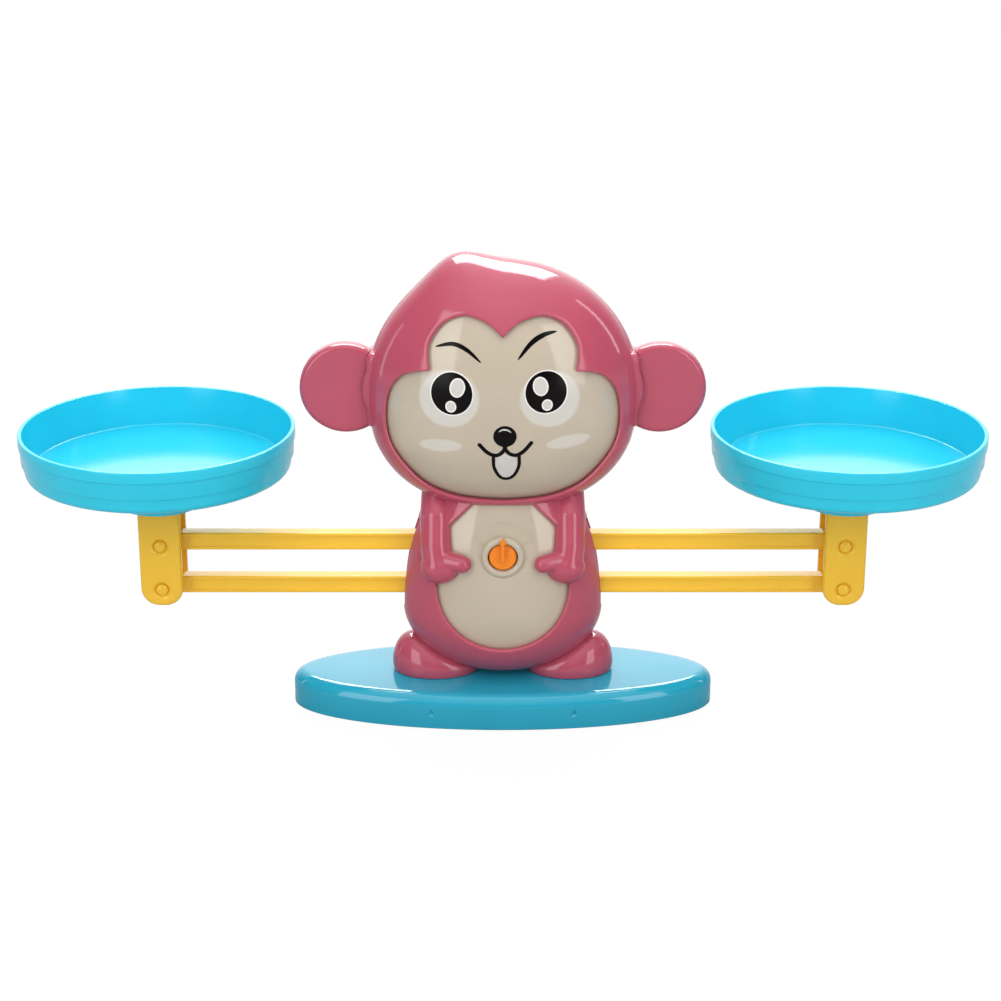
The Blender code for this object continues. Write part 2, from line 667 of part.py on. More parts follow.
def make_base(material):
    """The oval base: a shell open below, with cross ribs and two screw bosses."""
    bm = bmesh.new()
    made = bmesh.ops.create_circle(bm, cap_ends=True, segments=72, radius=1.0,
                                   matrix=Matrix.Diagonal((BASE_HALF_WIDTH, BASE_HALF_DEPTH, 1.0, 1.0)))
    cap = made["verts"][0].link_faces[0]
    moved = bmesh.ops.extrude_face_region(bm, geom=[cap])["geom"]
    top = [item for item in moved if isinstance(item, bmesh.types.BMVert)]
    bmesh.ops.translate(bm, verts=top, vec=(0.0, 0.0, BASE_HEIGHT))
    rim = [edge for edge in bm.edges if all(abs(vert.co.z - BASE_HEIGHT) < 1e-9 for vert in edge.verts)]
    bmesh.ops.bevel(bm, geom=rim, offset=BASE_EDGE_RADIUS, segments=4, profile=0.5, affect="EDGES")
    base = solid("base_plate", bm)

    bm = bmesh.new()
    place = Matrix.Translation((0.0, 0.0, (BASE_HEIGHT - BASE_WALL) / 2 - 0.5 * BASE_WALL))
    size = Matrix.Diagonal((BASE_HALF_WIDTH - BASE_WALL, BASE_HALF_DEPTH - BASE_WALL, 1.0, 1.0))
    bmesh.ops.create_cone(bm, cap_ends=True, segments=56, radius1=1.0, radius2=BASE_DRAFT,
                          depth=BASE_HEIGHT, matrix=place @ size)
    room = solid("room", bm)
    ribs = []
    count = int(BASE_HALF_WIDTH * 0.9 / BASE_RIB_PITCH)
    for index in range(-count, count + 1):
        x = index * BASE_RIB_PITCH + (BASE_RIB if index == 0 else 0.0)
        ribs.append(block((x - BASE_RIB / 2, -BASE_HALF_DEPTH, BASE_HEIGHT * 0.3),
                          (x + BASE_RIB / 2, BASE_HALF_DEPTH, BASE_HEIGHT)))
    room = cut(room, *ribs)
    for side in (-1, 1):
        room = cut(room, post(BASE_BOSS_RADIUS, SCREW_FLOOR / 2, BASE_HEIGHT,
                              side * FOOT_X, FOOT_HALF_DEPTH * 0.45))
    base = cut(base, room)
    for side in (-1, 1):
        x = side * FOOT_X
        y = FOOT_HALF_DEPTH * 0.45
        base = cut(base, post(SCREW_RADIUS + RUNNING_GAP, -BASE_WALL, 2 * BASE_HEIGHT, x, y, 12),
                   post(SCREW_HEAD_RADIUS + SEAT_GAP, -BASE_WALL, BASE_HEIGHT - SCREW_FLOOR, x, y, 16))
    base.name = "base_plate"
    finish(base, material)


def beam_body():
    """A bar with rounded ends, faced by a shallow recess in front and a ribbed groove behind."""
    tip = BEAM_HEIGHT / 2
    outline = [(BEAM_ARM + x, z) for x, z in arc((0.0, 0.0), tip, -90, 90, 6)]
    outline += [(-BEAM_ARM + x, z) for x, z in arc((0.0, 0.0), tip, 90, 270, 6)]
    bar = prism(list(reversed(outline)), -BEAM_DEPTH / 2, BEAM_DEPTH / 2)
    free_start = BEAM_HUB_RADIUS + 2 * BEAM_RIB
    free_end = BEAM_ARM - HANGER_WIDTH / 2 - 2 * BEAM_RIB
    half = BEAM_HEIGHT / 2 - BEAM_LIP
    cells = max(1, int((free_end - free_start) / BEAM_RIB_PITCH))
    pitch = (free_end - free_start) / cells
    for side in (-1, 1):
        low, high = sorted((side * free_start, side * free_end))
        bar = cut(bar, block((low, -BEAM_DEPTH, -half), (high, BEAM_RECESS - BEAM_DEPTH / 2, half)))
        for index in range(cells):
            start = free_start + index * pitch
            low, high = sorted((side * start, side * (start + pitch - BEAM_RIB)))
            bar = cut(bar, block((low, BEAM_DEPTH / 2 - BEAM_GROOVE_DEPTH, -half), (high, BEAM_DEPTH, half)))
    for side in (-1, 1):
        bar = join(bar, rod(BEAM_HUB_RADIUS, -HUB_HALF, HUB_HALF, side * BEAM_ARM, 0.0))
        bar = cut(bar, rod(HANGER_PIN_RADIUS + RUNNING_GAP, -HANGER_DEPTH, HANGER_DEPTH, side * BEAM_ARM, 0.0))
    return bar


def make_beams(material, upper_axis, lower_axis):
    """The upper beam, whose hub reaches forward to carry the dial, and the plainer lower beam."""
    hub_front = ring_face_y() + DIAL_FACE + 2 * SEAT_GAP + POINTER_THICKNESS
    for name, parent, front in (("upper_beam", upper_axis, hub_front),
                                ("lower_beam", lower_axis, -CENTRE_HUB_HALF)):
        beam = join(beam_body(), rod(BEAM_HUB_RADIUS, front, CENTRE_HUB_HALF, 0.0, 0.0))
        bore = rod(PIVOT_PIN_RADIUS + RUNNING_GAP, -2 * BODY_HALF_DEPTH, 2 * BODY_HALF_DEPTH, 0.0, 0.0)
        beam = cut(beam, bore)
        beam.name = name
        finish(beam, material, parent)


def make_dial(material, axis):
    """The orange cap on the upper hub, with the raised pointer that crosses the ring."""
    face = ring_face_y() + POINTER_THICKNESS
    dial = rod(DIAL_RADIUS, face, face + DIAL_SKIRT, 0.0, 0.0, 32)
    socket = rod(BEAM_HUB_RADIUS + SEAT_GAP, face + DIAL_FACE, face + 2 * DIAL_SKIRT, 0.0, 0.0, 28)
    dial = cut(dial, socket)
    half = POINTER_WIDTH / 2
    neck = POINTER_REACH - 2 * POINTER_WIDTH
    arrow = [(-half, -half), (half, -half), (half, neck), (2 * half, neck), (0.0, POINTER_REACH),
             (-2 * half, neck), (-half, neck)]
    front = ring_face_y() - SEAT_GAP - POINTER_THICKNESS
    pointer = prism(arrow, front, ring_face_y() - SEAT_GAP)
    stem = prism([(-half, -half), (half, -half), (half, DIAL_RADIUS * 0.9), (-half, DIAL_RADIUS * 0.9)],
                 front + POINTER_THICKNESS / 2, face + DIAL_FACE / 2)
    dial = join(dial, stem, pointer)
    dial.name = "pointer_dial"
    finish(dial, material, axis)


def make_hangers(material, axes):
    """Two plates joined by a web at the top, where a plug stands up into the pan's boss."""
    half = HANGER_WIDTH / 2
    bottom = -BEAM_SPACING - HANGER_TAIL
    corner = HANGER_CORNER
    outline = [(half, HANGER_RISE), (half, bottom + corner)]
    outline += [(x, z) for x, z in arc((half - corner, bottom + corner), corner, 0, -90, 5)][1:]
    outline += [(x, z) for x, z in arc((corner - half, bottom + corner), corner, -90, -180, 5)]
    outline += [(-half, HANGER_RISE)]
    hanger = prism(outline, -HANGER_DEPTH / 2, HANGER_DEPTH / 2, HANGER_EDGE)
    channel = HANGER_DEPTH / 2 - HANGER_PLATE
    hanger = cut(hanger, block((-HANGER_WIDTH, -channel, 2 * bottom),
                               (HANGER_WIDTH, channel, HANGER_RISE - HANGER_WEB)))
    plug = block((-half + PLUG_SHOULDER, -HANGER_DEPTH / 2 + PLUG_SHOULDER, HANGER_RISE - HANGER_WEB / 2),
                 (half - PLUG_SHOULDER, HANGER_DEPTH / 2 - PLUG_SHOULDER, HANGER_RISE + PLUG_HEIGHT))
    hanger = join(hanger, plug)
    recess = HANGER_PIN_HEAD + SEAT_GAP
    for height in (0.0, -BEAM_SPACING):
        hanger = cut(hanger, rod(HANGER_PIN_RADIUS + RUNNING_GAP, -HANGER_DEPTH, HANGER_DEPTH, 0.0, height),
                     rod(HANGER_PIN_RECESS_RADIUS, -HANGER_DEPTH, recess - HANGER_DEPTH / 2, 0.0, height))
    hanger.name = "left_hanger"
    other = twin(hanger)
    other.name = "right_hanger"
    for obj, axis in zip((hanger, other), axes):
        finish(obj, material, axis)


def pan_profile(seat, low):
    """Section of a pan: its boss's skirt from low up, its banded wall, its rim and its floor."""
    under = seat + PAN_SEAT_HEIGHT
    rim = under + PAN_DEPTH
    foot = PAN_RADIUS - PAN_TAPER
    lip_z = rim - PAN_LIP_HEIGHT
    band_z = under + PAN_BAND_HEIGHT
    floor = under + PAN_FLOOR
    inner_rim = PAN_RADIUS - PAN_WALL
    inner_foot = inner_rim - PAN_TAPER
    step = PAN_BAND
    skirt = PAN_BOSS_RADIUS - PAN_BOSS_TAPER
    profile = [(0.0, low)] + arc((skirt - PAN_BOSS_EDGE, low + PAN_BOSS_EDGE), PAN_BOSS_EDGE, -90, 0, 2)
    profile += [(PAN_BOSS_RADIUS, under)]
    profile += arc((foot - PAN_CORNER, under + PAN_CORNER), PAN_CORNER, -90, 0, 3)
    profile += [(foot + step / 2, band_z), (foot - step / 2, band_z + step),
                (PAN_RADIUS - 2 * step, lip_z - step), (PAN_RADIUS, lip_z), (PAN_RADIUS, rim), (inner_rim, rim)]
    profile += arc((inner_foot - PAN_CORNER, floor + PAN_CORNER), PAN_CORNER, 0, -90, 3)
    return profile + [(0.0, floor)]


def make_pans(material, axes):
    """Round banded pans, whose hollow boss grips the hanger's top between four ribs."""
    seat = HANGER_RISE + SEAT_GAP
    low = HANGER_RISE - PAN_SOCKET_DEPTH
    pan = lathe(pan_profile(seat, low), 46)
    room_radius = PAN_BOSS_RADIUS - PAN_BOSS_TAPER - PAN_BOSS_WALL
    room = post(room_radius, low - PAN_BOSS_WALL, seat, 0.0, 0.0, 32)
    half_rib = PAN_SOCKET_RIB / 2
    across = block((-PAN_BOSS_RADIUS, -half_rib, low), (PAN_BOSS_RADIUS, half_rib, 2 * seat))
    along = block((-half_rib, -PAN_BOSS_RADIUS, low), (half_rib, PAN_BOSS_RADIUS, 2 * seat))
    room = cut(room, across, along)
    half_x = HANGER_WIDTH / 2 + SEAT_GAP
    half_y = HANGER_DEPTH / 2 + SEAT_GAP
    socket = block((-half_x, -half_y, low - PAN_BOSS_WALL), (half_x, half_y, seat))
    plug_room = block((PLUG_SHOULDER - half_x, PLUG_SHOULDER - half_y, low),
                      (half_x - PLUG_SHOULDER, half_y - PLUG_SHOULDER, seat + PLUG_HEIGHT))
    pan = cut(pan, room, socket, plug_room)
    pan.name = "left_pan"
    other = twin(pan)
    other.name = "right_pan"
    for obj, axis in zip((pan, other), axes):
        finish(obj, material, axis, 20.0)


def make_hanger_pins(material, axes):
    """Headed pins through the hangers' plates and the beams' end hubs."""
    for side, axis in zip(("left", "right"), axes):
        for place, height in (("upper", 0.0), ("lower", -BEAM_SPACING)):
            head_front = -HANGER_DEPTH / 2
            pin = rod(HANGER_PIN_RADIUS, head_front + HANGER_PIN_HEAD / 2, HANGER_DEPTH / 2, 0.0, height, 20)
            head = rod(HANGER_PIN_HEAD_RADIUS, head_front, head_front + HANGER_PIN_HEAD, 0.0, height, 20)
            pin = join(pin, head)
            pin.name = side + "_" + place + "_pin"
            finish(pin, material, axis)


def make_pivot_pins(material):
    """Two plain pins held in the back shell's bosses. The lower one also enters the belly panel."""
    back = BODY_HALF_DEPTH - 2 * SHELL_WALL - SEAT_GAP
    hub_front = ring_face_y() + DIAL_FACE + 2 * SEAT_GAP + POINTER_THICKNESS
    ends = {"upper_pivot_pin": (hub_front + SEAT_GAP, UPPER_Z),
            "lower_pivot_pin": (ring_face_y() + 3 * PANEL_WALL + SEAT_GAP, LOWER_Z)}
    for name, (front, height) in ends.items():
        pin = rod(PIVOT_PIN_RADIUS, front, back, 0.0, height, 20)
        pin.name = name
        finish(pin, material)


def make_screw(name, material, head_place, direction):
    """A pan-head screw. Its head starts at head_place and its shank runs along direction."""
    bm = bmesh.new()
    shank = SCREW_FLOOR + SCREW_GRIP * 0.8
    profile = [(0.0, -SCREW_HEAD), (SCREW_HEAD_RADIUS * 0.7, -SCREW_HEAD),
               (SCREW_HEAD_RADIUS, -SCREW_HEAD * 0.5), (SCREW_HEAD_RADIUS, 0.0),
               (SCREW_RADIUS, 0.0), (SCREW_RADIUS, shank - SCREW_RADIUS), (0.0, shank)]
    verts = [bm.verts.new((radius, 0.0, z)) for radius, z in profile]
    edges = [bm.edges.new(pair) for pair in zip(verts, verts[1:])]
    bmesh.ops.spin(bm, geom=verts + edges, axis=(0, 0, 1), cent=(0, 0, 0), steps=12,
                   angle=2 * math.pi, use_merge=True)
    bmesh.ops.remove_doubles(bm, verts=bm.verts, dist=1e-6)
    turn = Vector(direction).to_track_quat("Z", "Y").to_matrix().to_4x4()
    bmesh.ops.transform(bm, verts=bm.verts, matrix=Matrix.Translation(head_place) @ turn)
    finish(solid(name, bm), material)


def make_screws(material):
    """Four screws clamp the shells together from behind, and two hold them on the base."""
    places = [(-HEAD_BOSS[0], HEAD_BOSS[1]), (HEAD_BOSS[0], HEAD_BOSS[1]),
              (-BODY_BOSS[0], BODY_BOSS[1]), (BODY_BOSS[0], BODY_BOSS[1])]
    for number, (x, z) in enumerate(places, start=1):
        make_screw("shell_screw_%d" % number, material, (x, SCREW_FLOOR + SEAT_GAP, z), (0, -1, 0))
    for number, side in enumerate((-1, 1), start=1):
        place = (side * FOOT_X, FOOT_HALF_DEPTH * 0.45, BASE_HEIGHT - SCREW_FLOOR - SEAT_GAP)
        make_screw("base_screw_%d" % number, material, place, (0, 0, 1))


def main():
    """Build every piece of the balance."""
    clear_scene()
    pink = plastic("pink_plastic", PINK)
    beige = plastic("beige_plastic", BEIGE)
    yellow = plastic("yellow_plastic", YELLOW)
    steel = plastic("steel", STEEL, 0.35, 1.0)

    upper_axis = axis_empty("upper_beam_axis", (0.0, 0.0, UPPER_Z))
    lower_axis = axis_empty("lower_beam_axis", (0.0, 0.0, LOWER_Z))
    hanger_axes = [axis_empty("left_hanger_axis", (-BEAM_ARM, 0.0, UPPER_Z)),
                   axis_empty("right_hanger_axis", (BEAM_ARM, 0.0, UPPER_Z))]

    make_base(plastic("sea_blue_plastic", SEA_BLUE))
    make_shells(pink)
    make_face_panel(beige)
    make_belly_panel(beige)
    make_ear(-1, pink)
    make_ear(1, pink)
    make_beams(yellow, upper_axis, lower_axis)
    make_dial(plastic("orange_plastic", ORANGE), upper_axis)
    make_hangers(yellow, hanger_axes)
    make_pans(plastic("sky_blue_plastic", SKY_BLUE), hanger_axes)
    make_hanger_pins(yellow, hanger_axes)
    make_pivot_pins(steel)
    make_screws(steel)


main()
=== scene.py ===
"""Dresses the number balance: a moulded monkey that holds two parallel beams with a pan at each end.

Every mesh is modelled in millimetres and turned to metres once, when it is published.
+X runs along the beams to the right pan, -Y is the side of the face and +Z is up.
"""
import logging
import math
from dataclasses import dataclass
from enum import Enum
from typing import Callable, Iterable, Optional, Sequence

import bmesh
import bpy
from mathutils import Matrix, Vector


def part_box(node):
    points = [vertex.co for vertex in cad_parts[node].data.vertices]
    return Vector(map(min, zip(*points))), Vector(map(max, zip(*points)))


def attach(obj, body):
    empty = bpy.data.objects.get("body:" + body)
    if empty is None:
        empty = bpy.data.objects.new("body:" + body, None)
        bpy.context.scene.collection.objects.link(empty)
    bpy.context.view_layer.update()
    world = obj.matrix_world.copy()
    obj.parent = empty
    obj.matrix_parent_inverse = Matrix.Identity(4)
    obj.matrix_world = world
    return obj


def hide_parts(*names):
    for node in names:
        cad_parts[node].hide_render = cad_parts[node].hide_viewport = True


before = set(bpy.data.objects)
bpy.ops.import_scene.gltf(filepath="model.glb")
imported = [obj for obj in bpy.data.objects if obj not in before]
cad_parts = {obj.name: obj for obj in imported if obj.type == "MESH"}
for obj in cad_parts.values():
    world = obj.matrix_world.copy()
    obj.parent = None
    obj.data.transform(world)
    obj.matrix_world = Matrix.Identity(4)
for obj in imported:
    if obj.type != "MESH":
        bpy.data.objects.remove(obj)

LOG = logging.getLogger("number_balance")
MM = 0.001
TURN = 2.0 * math.pi
WELD = 0.0005
Path = Sequence[tuple[float, float]]


class Carve(Enum):
    """What an exact Boolean does with its tool."""

    JOIN = "UNION"
    CUT = "DIFFERENCE"
    KEEP = "INTERSECT"


class Axis(Enum):
    """The axis that a turned piece is spun about."""

    UP = 0.0
    DEPTH = -math.pi / 2


class Side(Enum):
    """A side of the balance, as seen from the face."""

    LEFT = -1
    RIGHT = 1

    @property
    def word(self) -> str:
        """The side's name as the CAD nodes spell it."""
        return self.name.lower()


def linear(code: str) -> tuple[float, float, float, float]:
    """Turn an sRGB hex code into a linear colour.

    Args:
        code: Six hex digits after a hash.

    Returns:
        Red, green, blue and a full alpha.
    """
    channels = [int(code[start:start + 2], 16) / 255.0 for start in (1, 3, 5)]
    red, green, blue = (c / 12.92 if c <= 0.04045 else ((c + 0.055) / 1.055) ** 2.4 for c in channels)
    return red, green, blue, 1.0


def add_node(tree: bpy.types.NodeTree, kind: str, settings: Optional[dict] = None,
             links: Optional[dict] = None) -> bpy.types.Node:
    """Add a shader node with its settings and its incoming links.

    Args:
        tree: The tree that gets the node.
        kind: The node's type name.
        settings: Values for its sockets, or for its properties where no socket has that name.
        links: Output sockets that feed its input sockets.

    Returns:
        The new node.
    """
    made = tree.nodes.new(kind)
    for key, value in (settings or {}).items():
        if isinstance(key, int) or key in made.inputs:
            made.inputs[key].default_value = value
        else:
            setattr(made, key, value)
    for key, source in (links or {}).items():
        tree.links.new(source, made.inputs[key])
    return made


def new_finish(name: str, colour: str) -> tuple[bpy.types.Material, bpy.types.Node, bpy.types.NodeSocket]:
    """Start a finish.

    Args:
        name: The material's name.
        colour: Its sRGB hex code, also shown where nothing is shaded.

    Returns:
        The material, its shader and the Object coordinates that its patterns follow.
    """
    made = bpy.data.materials.new(name)
    made.use_nodes = True
    made.diffuse_color = linear(colour)
    place = add_node(made.node_tree, "ShaderNodeTexCoord")
    return made, made.node_tree.nodes["Principled BSDF"], place.outputs["Object"]


def tinted(colour: str, factor: float, offset: float = 0.0) -> tuple[float, ...]:
    """A colour made lighter or darker, as linear channels with a full alpha."""
    return tuple(min(1.0, channel * factor + offset) for channel in linear(colour)[:3]) + (1.0,)


@dataclass(frozen=True)
class MouldedPlastic:
    """Injection-moulded ABS or polypropylene from a polished tool.

    The eye sees one clear colour, a tight gloss, a faint flow waviness in the reflections and
    slightly duller patches where hands have been.
    """

    name: str
    colour: str
    roughness: float = 0.14
    ior: float = 1.53
    flow_spacing: float = 14.0
    flow_height: float = 0.012
    grain_spacing: float = 0.9
    grain_height: float = 0.0016
    shade_change: float = 0.05

    def material(self) -> bpy.types.Material:
        """Build the finish.

        Returns:
            A material whose patterns follow Object coordinates.
        """
        made, shader, place = new_finish(self.name, self.colour)
        tree = made.node_tree
        flow = add_node(tree, "ShaderNodeTexNoise",
                        {"Scale": 1.0 / (self.flow_spacing * MM), "Detail": 2.0, "Roughness": 0.4},
                        {"Vector": place})
        # Real grain is finer than this; it is drawn coarse enough to soften the gloss in the picture.
        grain = add_node(tree, "ShaderNodeTexNoise",
                         {"Scale": 1.0 / (self.grain_spacing * MM), "Detail": 3.0},
                         {"Vector": place})
        shade = add_node(tree, "ShaderNodeMix",
                         {"data_type": "RGBA", 6: tinted(self.colour, 1.0 - self.shade_change),
                          7: tinted(self.colour, 1.0 + self.shade_change)},
                         {0: flow.outputs["Fac"]})
        wear = add_node(tree, "ShaderNodeMapRange",
                        {"To Min": self.roughness * 0.75, "To Max": self.roughness * 1.3},
                        {"Value": grain.outputs["Fac"]})
        waves = add_node(tree, "ShaderNodeBump", {"Distance": self.flow_height * MM},
                         {"Height": flow.outputs["Fac"]})
        fine = add_node(tree, "ShaderNodeBump", {"Distance": self.grain_height * MM},
                        {"Height": grain.outputs["Fac"], "Normal": waves.outputs["Normal"]})
        tree.links.new(shade.outputs[2], shader.inputs["Base Color"])
        tree.links.new(wear.outputs["Result"], shader.inputs["Roughness"])
        tree.links.new(fine.outputs["Normal"], shader.inputs["Normal"])
        shader.inputs["IOR"].default_value = self.ior
        return made


@dataclass(frozen=True)
class PrintingInk:
    """Pad-printed ink under a clear coat: a flat film with a speckle where it dried unevenly."""

    name: str
    colour: str
    roughness: float = 0.16
    speckle: float = 0.6
    gloss: float = 0.5

    def material(self) -> bpy.types.Material:
        """Build the finish.

        Returns:
            A material with a fine speckle in its colour and gloss.
        """
        made, shader, place = new_finish(self.name, self.colour)
        tree = made.node_tree
        # A dried film is speckled more finely than this; it is drawn coarse enough to show.
        film = add_node(tree, "ShaderNodeTexNoise", {"Scale": 1.0 / (self.speckle * MM), "Detail": 4.0},
                        {"Vector": place})
        shade = add_node(tree, "ShaderNodeMix",
                         {"data_type": "RGBA", 6: linear(self.colour), 7: tinted(self.colour, 1.06, 0.001)},
                         {0: film.outputs["Fac"]})
        wear = add_node(tree, "ShaderNodeMapRange",
                        {"To Min": self.roughness * 0.8, "To Max": self.roughness * 1.25},
                        {"Value": film.outputs["Fac"]})
        tree.links.new(shade.outputs[2], shader.inputs["Base Color"])
        tree.links.new(wear.outputs["Result"], shader.inputs["Roughness"])
        shader.inputs["IOR"].default_value = 1.5
        shader.inputs["Specular IOR Level"].default_value = self.gloss
        return made


@dataclass(frozen=True)
class ZincPlate:
    """Bright zinc on a cold-headed screw: a pale grey metal with a soft, cloudy gloss."""

    name: str = "zinc plated steel"
    colour: str = "#C9CCCE"
    roughness: float = 0.32
    cloud_spacing: float = 1.2

    def material(self) -> bpy.types.Material:
        """Build the finish.

        Returns:
            A metal whose gloss changes in small clouds.
        """
        made, shader, place = new_finish(self.name, self.colour)
        tree = made.node_tree
        # The clouds on real zinc plate are about this wide.
        cloud = add_node(tree, "ShaderNodeTexNoise", {"Scale": 1.0 / (self.cloud_spacing * MM), "Detail": 3.0},
                         {"Vector": place})
        wear = add_node(tree, "ShaderNodeMapRange",
                        {"To Min": self.roughness * 0.7, "To Max": self.roughness * 1.4},
                        {"Value": cloud.outputs["Fac"]})
        tree.links.new(wear.outputs["Result"], shader.inputs["Roughness"])
        shader.inputs["Base Color"].default_value = linear(self.colour)
        shader.inputs["Metallic"].default_value = 1.0
        return made


class Finishes:
    """The balance's finishes, each made once."""

    def __init__(self) -> None:
        """Make every material."""
        self.pink = MouldedPlastic("pink glossy ABS", "#BB5166", roughness=0.10).material()
        self.beige = MouldedPlastic("beige glossy ABS", "#C4B7A3", roughness=0.09).material()
        self.yellow = MouldedPlastic("yellow glossy ABS", "#FFC636", roughness=0.16).material()
        self.sky = MouldedPlastic("sky blue polypropylene", "#28CBE8", roughness=0.15, ior=1.49).material()
        self.sea = MouldedPlastic("sea blue glossy ABS", "#24A5C3", roughness=0.08).material()
        self.orange = MouldedPlastic("orange glossy ABS", "#F88A12", roughness=0.28).material()
        self.black_ink = PrintingInk("black printing ink", "#0A0607", gloss=0.12).material()
        self.white_ink = PrintingInk("white printing ink", "#F1EEE8").material()
        self.grey_ink = PrintingInk("pale grey printing ink", "#CFCCC7").material()
        self.patch_ink = PrintingInk("pale patch printing ink", "#CFCBC3").material()
        self.blush_ink = PrintingInk("blush printing ink", "#D0C9BE").material()
        self.halo_ink = PrintingInk("thinned patch printing ink", "#CBC2B3").material()
        self.zinc = ZincPlate().material()


def in_scene(name: str, data: bpy.types.ID) -> bpy.types.Object:
    """A new object in the scene, at the origin."""
    made = bpy.data.objects.new(name, data)
    bpy.context.scene.collection.objects.link(made)
    return made


def as_mesh(bm: bmesh.types.BMesh, name: str) -> bpy.types.Mesh:
    """Mesh data from a bmesh, which is freed."""
    mesh = bpy.data.meshes.new(name)
    bm.to_mesh(mesh)
    bm.free()
    return mesh


def as_shaped(obj: bpy.types.Object) -> None:
    """Turn an object's modifiers into its mesh."""
    graph = bpy.context.evaluated_depsgraph_get()
    shaped = bpy.data.meshes.new_from_object(obj.evaluated_get(graph))
    obj.modifiers.clear()
    obj.data = shaped


def soften(bm: bmesh.types.BMesh, edges: Sequence[bmesh.types.BMEdge], radius: float, segments: int) -> None:
    """Round some edges by a radius."""
    bmesh.ops.bevel(bm, geom=edges, offset=radius, segments=segments, profile=0.5, affect="EDGES", material=-1)


def pull_out(bm: bmesh.types.BMesh, run: Sequence[float]) -> None:
    """Extrude a flat cap into a closed prism."""
    far = bmesh.ops.extrude_face_region(bm, geom=list(bm.faces))["geom"]
    bmesh.ops.translate(bm, verts=[item for item in far if isinstance(item, bmesh.types.BMVert)], vec=run)
    bmesh.ops.recalc_face_normals(bm, faces=bm.faces)


class Solid:
    """A closed body in millimetres, which exact Booleans join to others, cut or trim."""

    def __init__(self, bm: bmesh.types.BMesh) -> None:
        """Take over a bmesh.

        Args:
            bm: The body's mesh, which is freed.
        """
        self.obj = in_scene("bench", as_mesh(bm, "bench"))

    def carve(self, how: Carve, *tools: "Solid") -> "Solid":
        """Apply one exact Boolean for each tool.

        Args:
            how: What the Boolean does.
            tools: The other bodies, which are used up.

        Returns:
            This body.
        """
        for tool in tools:
            modifier = self.obj.modifiers.new("carve", "BOOLEAN")
            modifier.operation = how.value
            modifier.solver = "EXACT"
            modifier.object = tool.obj
            as_shaped(self.obj)
            tool.discard()
            self.tidy()
        return self

    def tidy(self, least: float = 0.002) -> None:
        """Close up slivers, which would upset the next Boolean.

        Args:
            least: The shortest edge that stays.
        """
        bm = self.mesh()
        bmesh.ops.remove_doubles(bm, verts=bm.verts, dist=least)
        bmesh.ops.dissolve_degenerate(bm, edges=bm.edges, dist=least)
        bm.to_mesh(self.obj.data)
        bm.free()

    def mesh(self) -> bmesh.types.BMesh:
        """The body's mesh as it is now."""
        bm = bmesh.new()
        bm.from_mesh(self.obj.data)
        return bm

    def copy(self) -> "Solid":
        """Make a second body of the same shape."""
        return Solid(self.mesh())

    def take(self) -> bmesh.types.BMesh:
        """Hand the mesh over and clear the bench."""
        bm = self.mesh()
        self.discard()
        bmesh.ops.remove_doubles(bm, verts=bm.verts, dist=WELD)
        return bm

    def discard(self) -> None:
        """Clear the bench."""
        bpy.data.objects.remove(self.obj, do_unlink=True)


def publish(bm: bmesh.types.BMesh, name: str, body: str, material: bpy.types.Material,
            stands_for: Iterable[str] = (), sharp_degrees: float = 30.0) -> bpy.types.Object:
    """Turn a finished mesh into a piece that rides on its body.

    Args:
        bm: The mesh in millimetres, which is freed.
        name: The piece's name.
        body: The CAD body that carries it.
        material: Its finish.
        stands_for: The CAD nodes that it replaces.
        sharp_degrees: The angle from which an edge is shaded sharp.

    Returns:
        The piece.
    """
    bmesh.ops.scale(bm, verts=bm.verts, vec=(MM, MM, MM))
    mesh = as_mesh(bm, name)
    mesh.shade_smooth()
    mesh.set_sharp_from_angle(angle=math.radians(sharp_degrees))
    mesh.materials.append(material)
    piece = in_scene(name, mesh)
    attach(piece, body)
    if stands_for:
        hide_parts(*stands_for)
    triangles = sum(len(polygon.vertices) - 2 for polygon in mesh.polygons)
    LOG.info("%s: %d triangles on %s", name, triangles, body)
    return piece


def merged(parts: Iterable[bmesh.types.BMesh]) -> bmesh.types.BMesh:
    """Put several meshes into one.

    Args:
        parts: The meshes, which are freed.

    Returns:
        One mesh that holds them all.
    """
    whole = bmesh.new()
    for part in parts:
        mesh = as_mesh(part, "part")
        whole.from_mesh(mesh)
        bpy.data.meshes.remove(mesh)
    return whole


def turned(profile: Path, steps: int, centre: Sequence[float] = (0.0, 0.0, 0.0),
           axis: Axis = Axis.UP) -> bmesh.types.BMesh:
    """Spin a profile of radius and height into a closed turned piece.

    Args:
        profile: Points of radius and height. It starts and ends on the axis, or it is a closed loop.
        steps: How many sectors the turn has.
        centre: Where the profile's zero lies.
        axis: The axis of the turn.

    Returns:
        The piece, with its faces pointing out.
    """
    bm = bmesh.new()
    verts = [bm.verts.new((radius, 0.0, height)) for radius, height in profile]
    pairs = list(zip(verts, verts[1:]))
    if profile[0][0] > 0.0:
        pairs.append((verts[-1], verts[0]))
    edges = [bm.edges.new(pair) for pair in pairs]
    bmesh.ops.spin(bm, geom=verts + edges, axis=(0, 0, 1), cent=(0, 0, 0), angle=TURN, steps=steps,
                   use_merge=True)
    bmesh.ops.remove_doubles(bm, verts=bm.verts, dist=WELD)
    bmesh.ops.recalc_face_normals(bm, faces=bm.faces)
    bmesh.ops.transform(bm, verts=bm.verts,
                        matrix=Matrix.Translation(centre) @ Matrix.Rotation(axis.value, 4, "X"))
    return bm


def rounded(centre: tuple[float, float], radius: float, start: float, end: float, steps: int = 5) -> Path:
    """Points of an arc, with its angles in degrees."""
    angles = [math.radians(start + (end - start) * step / steps) for step in range(steps + 1)]
    return [(centre[0] + radius * math.cos(angle), centre[1] + radius * math.sin(angle)) for angle in angles]


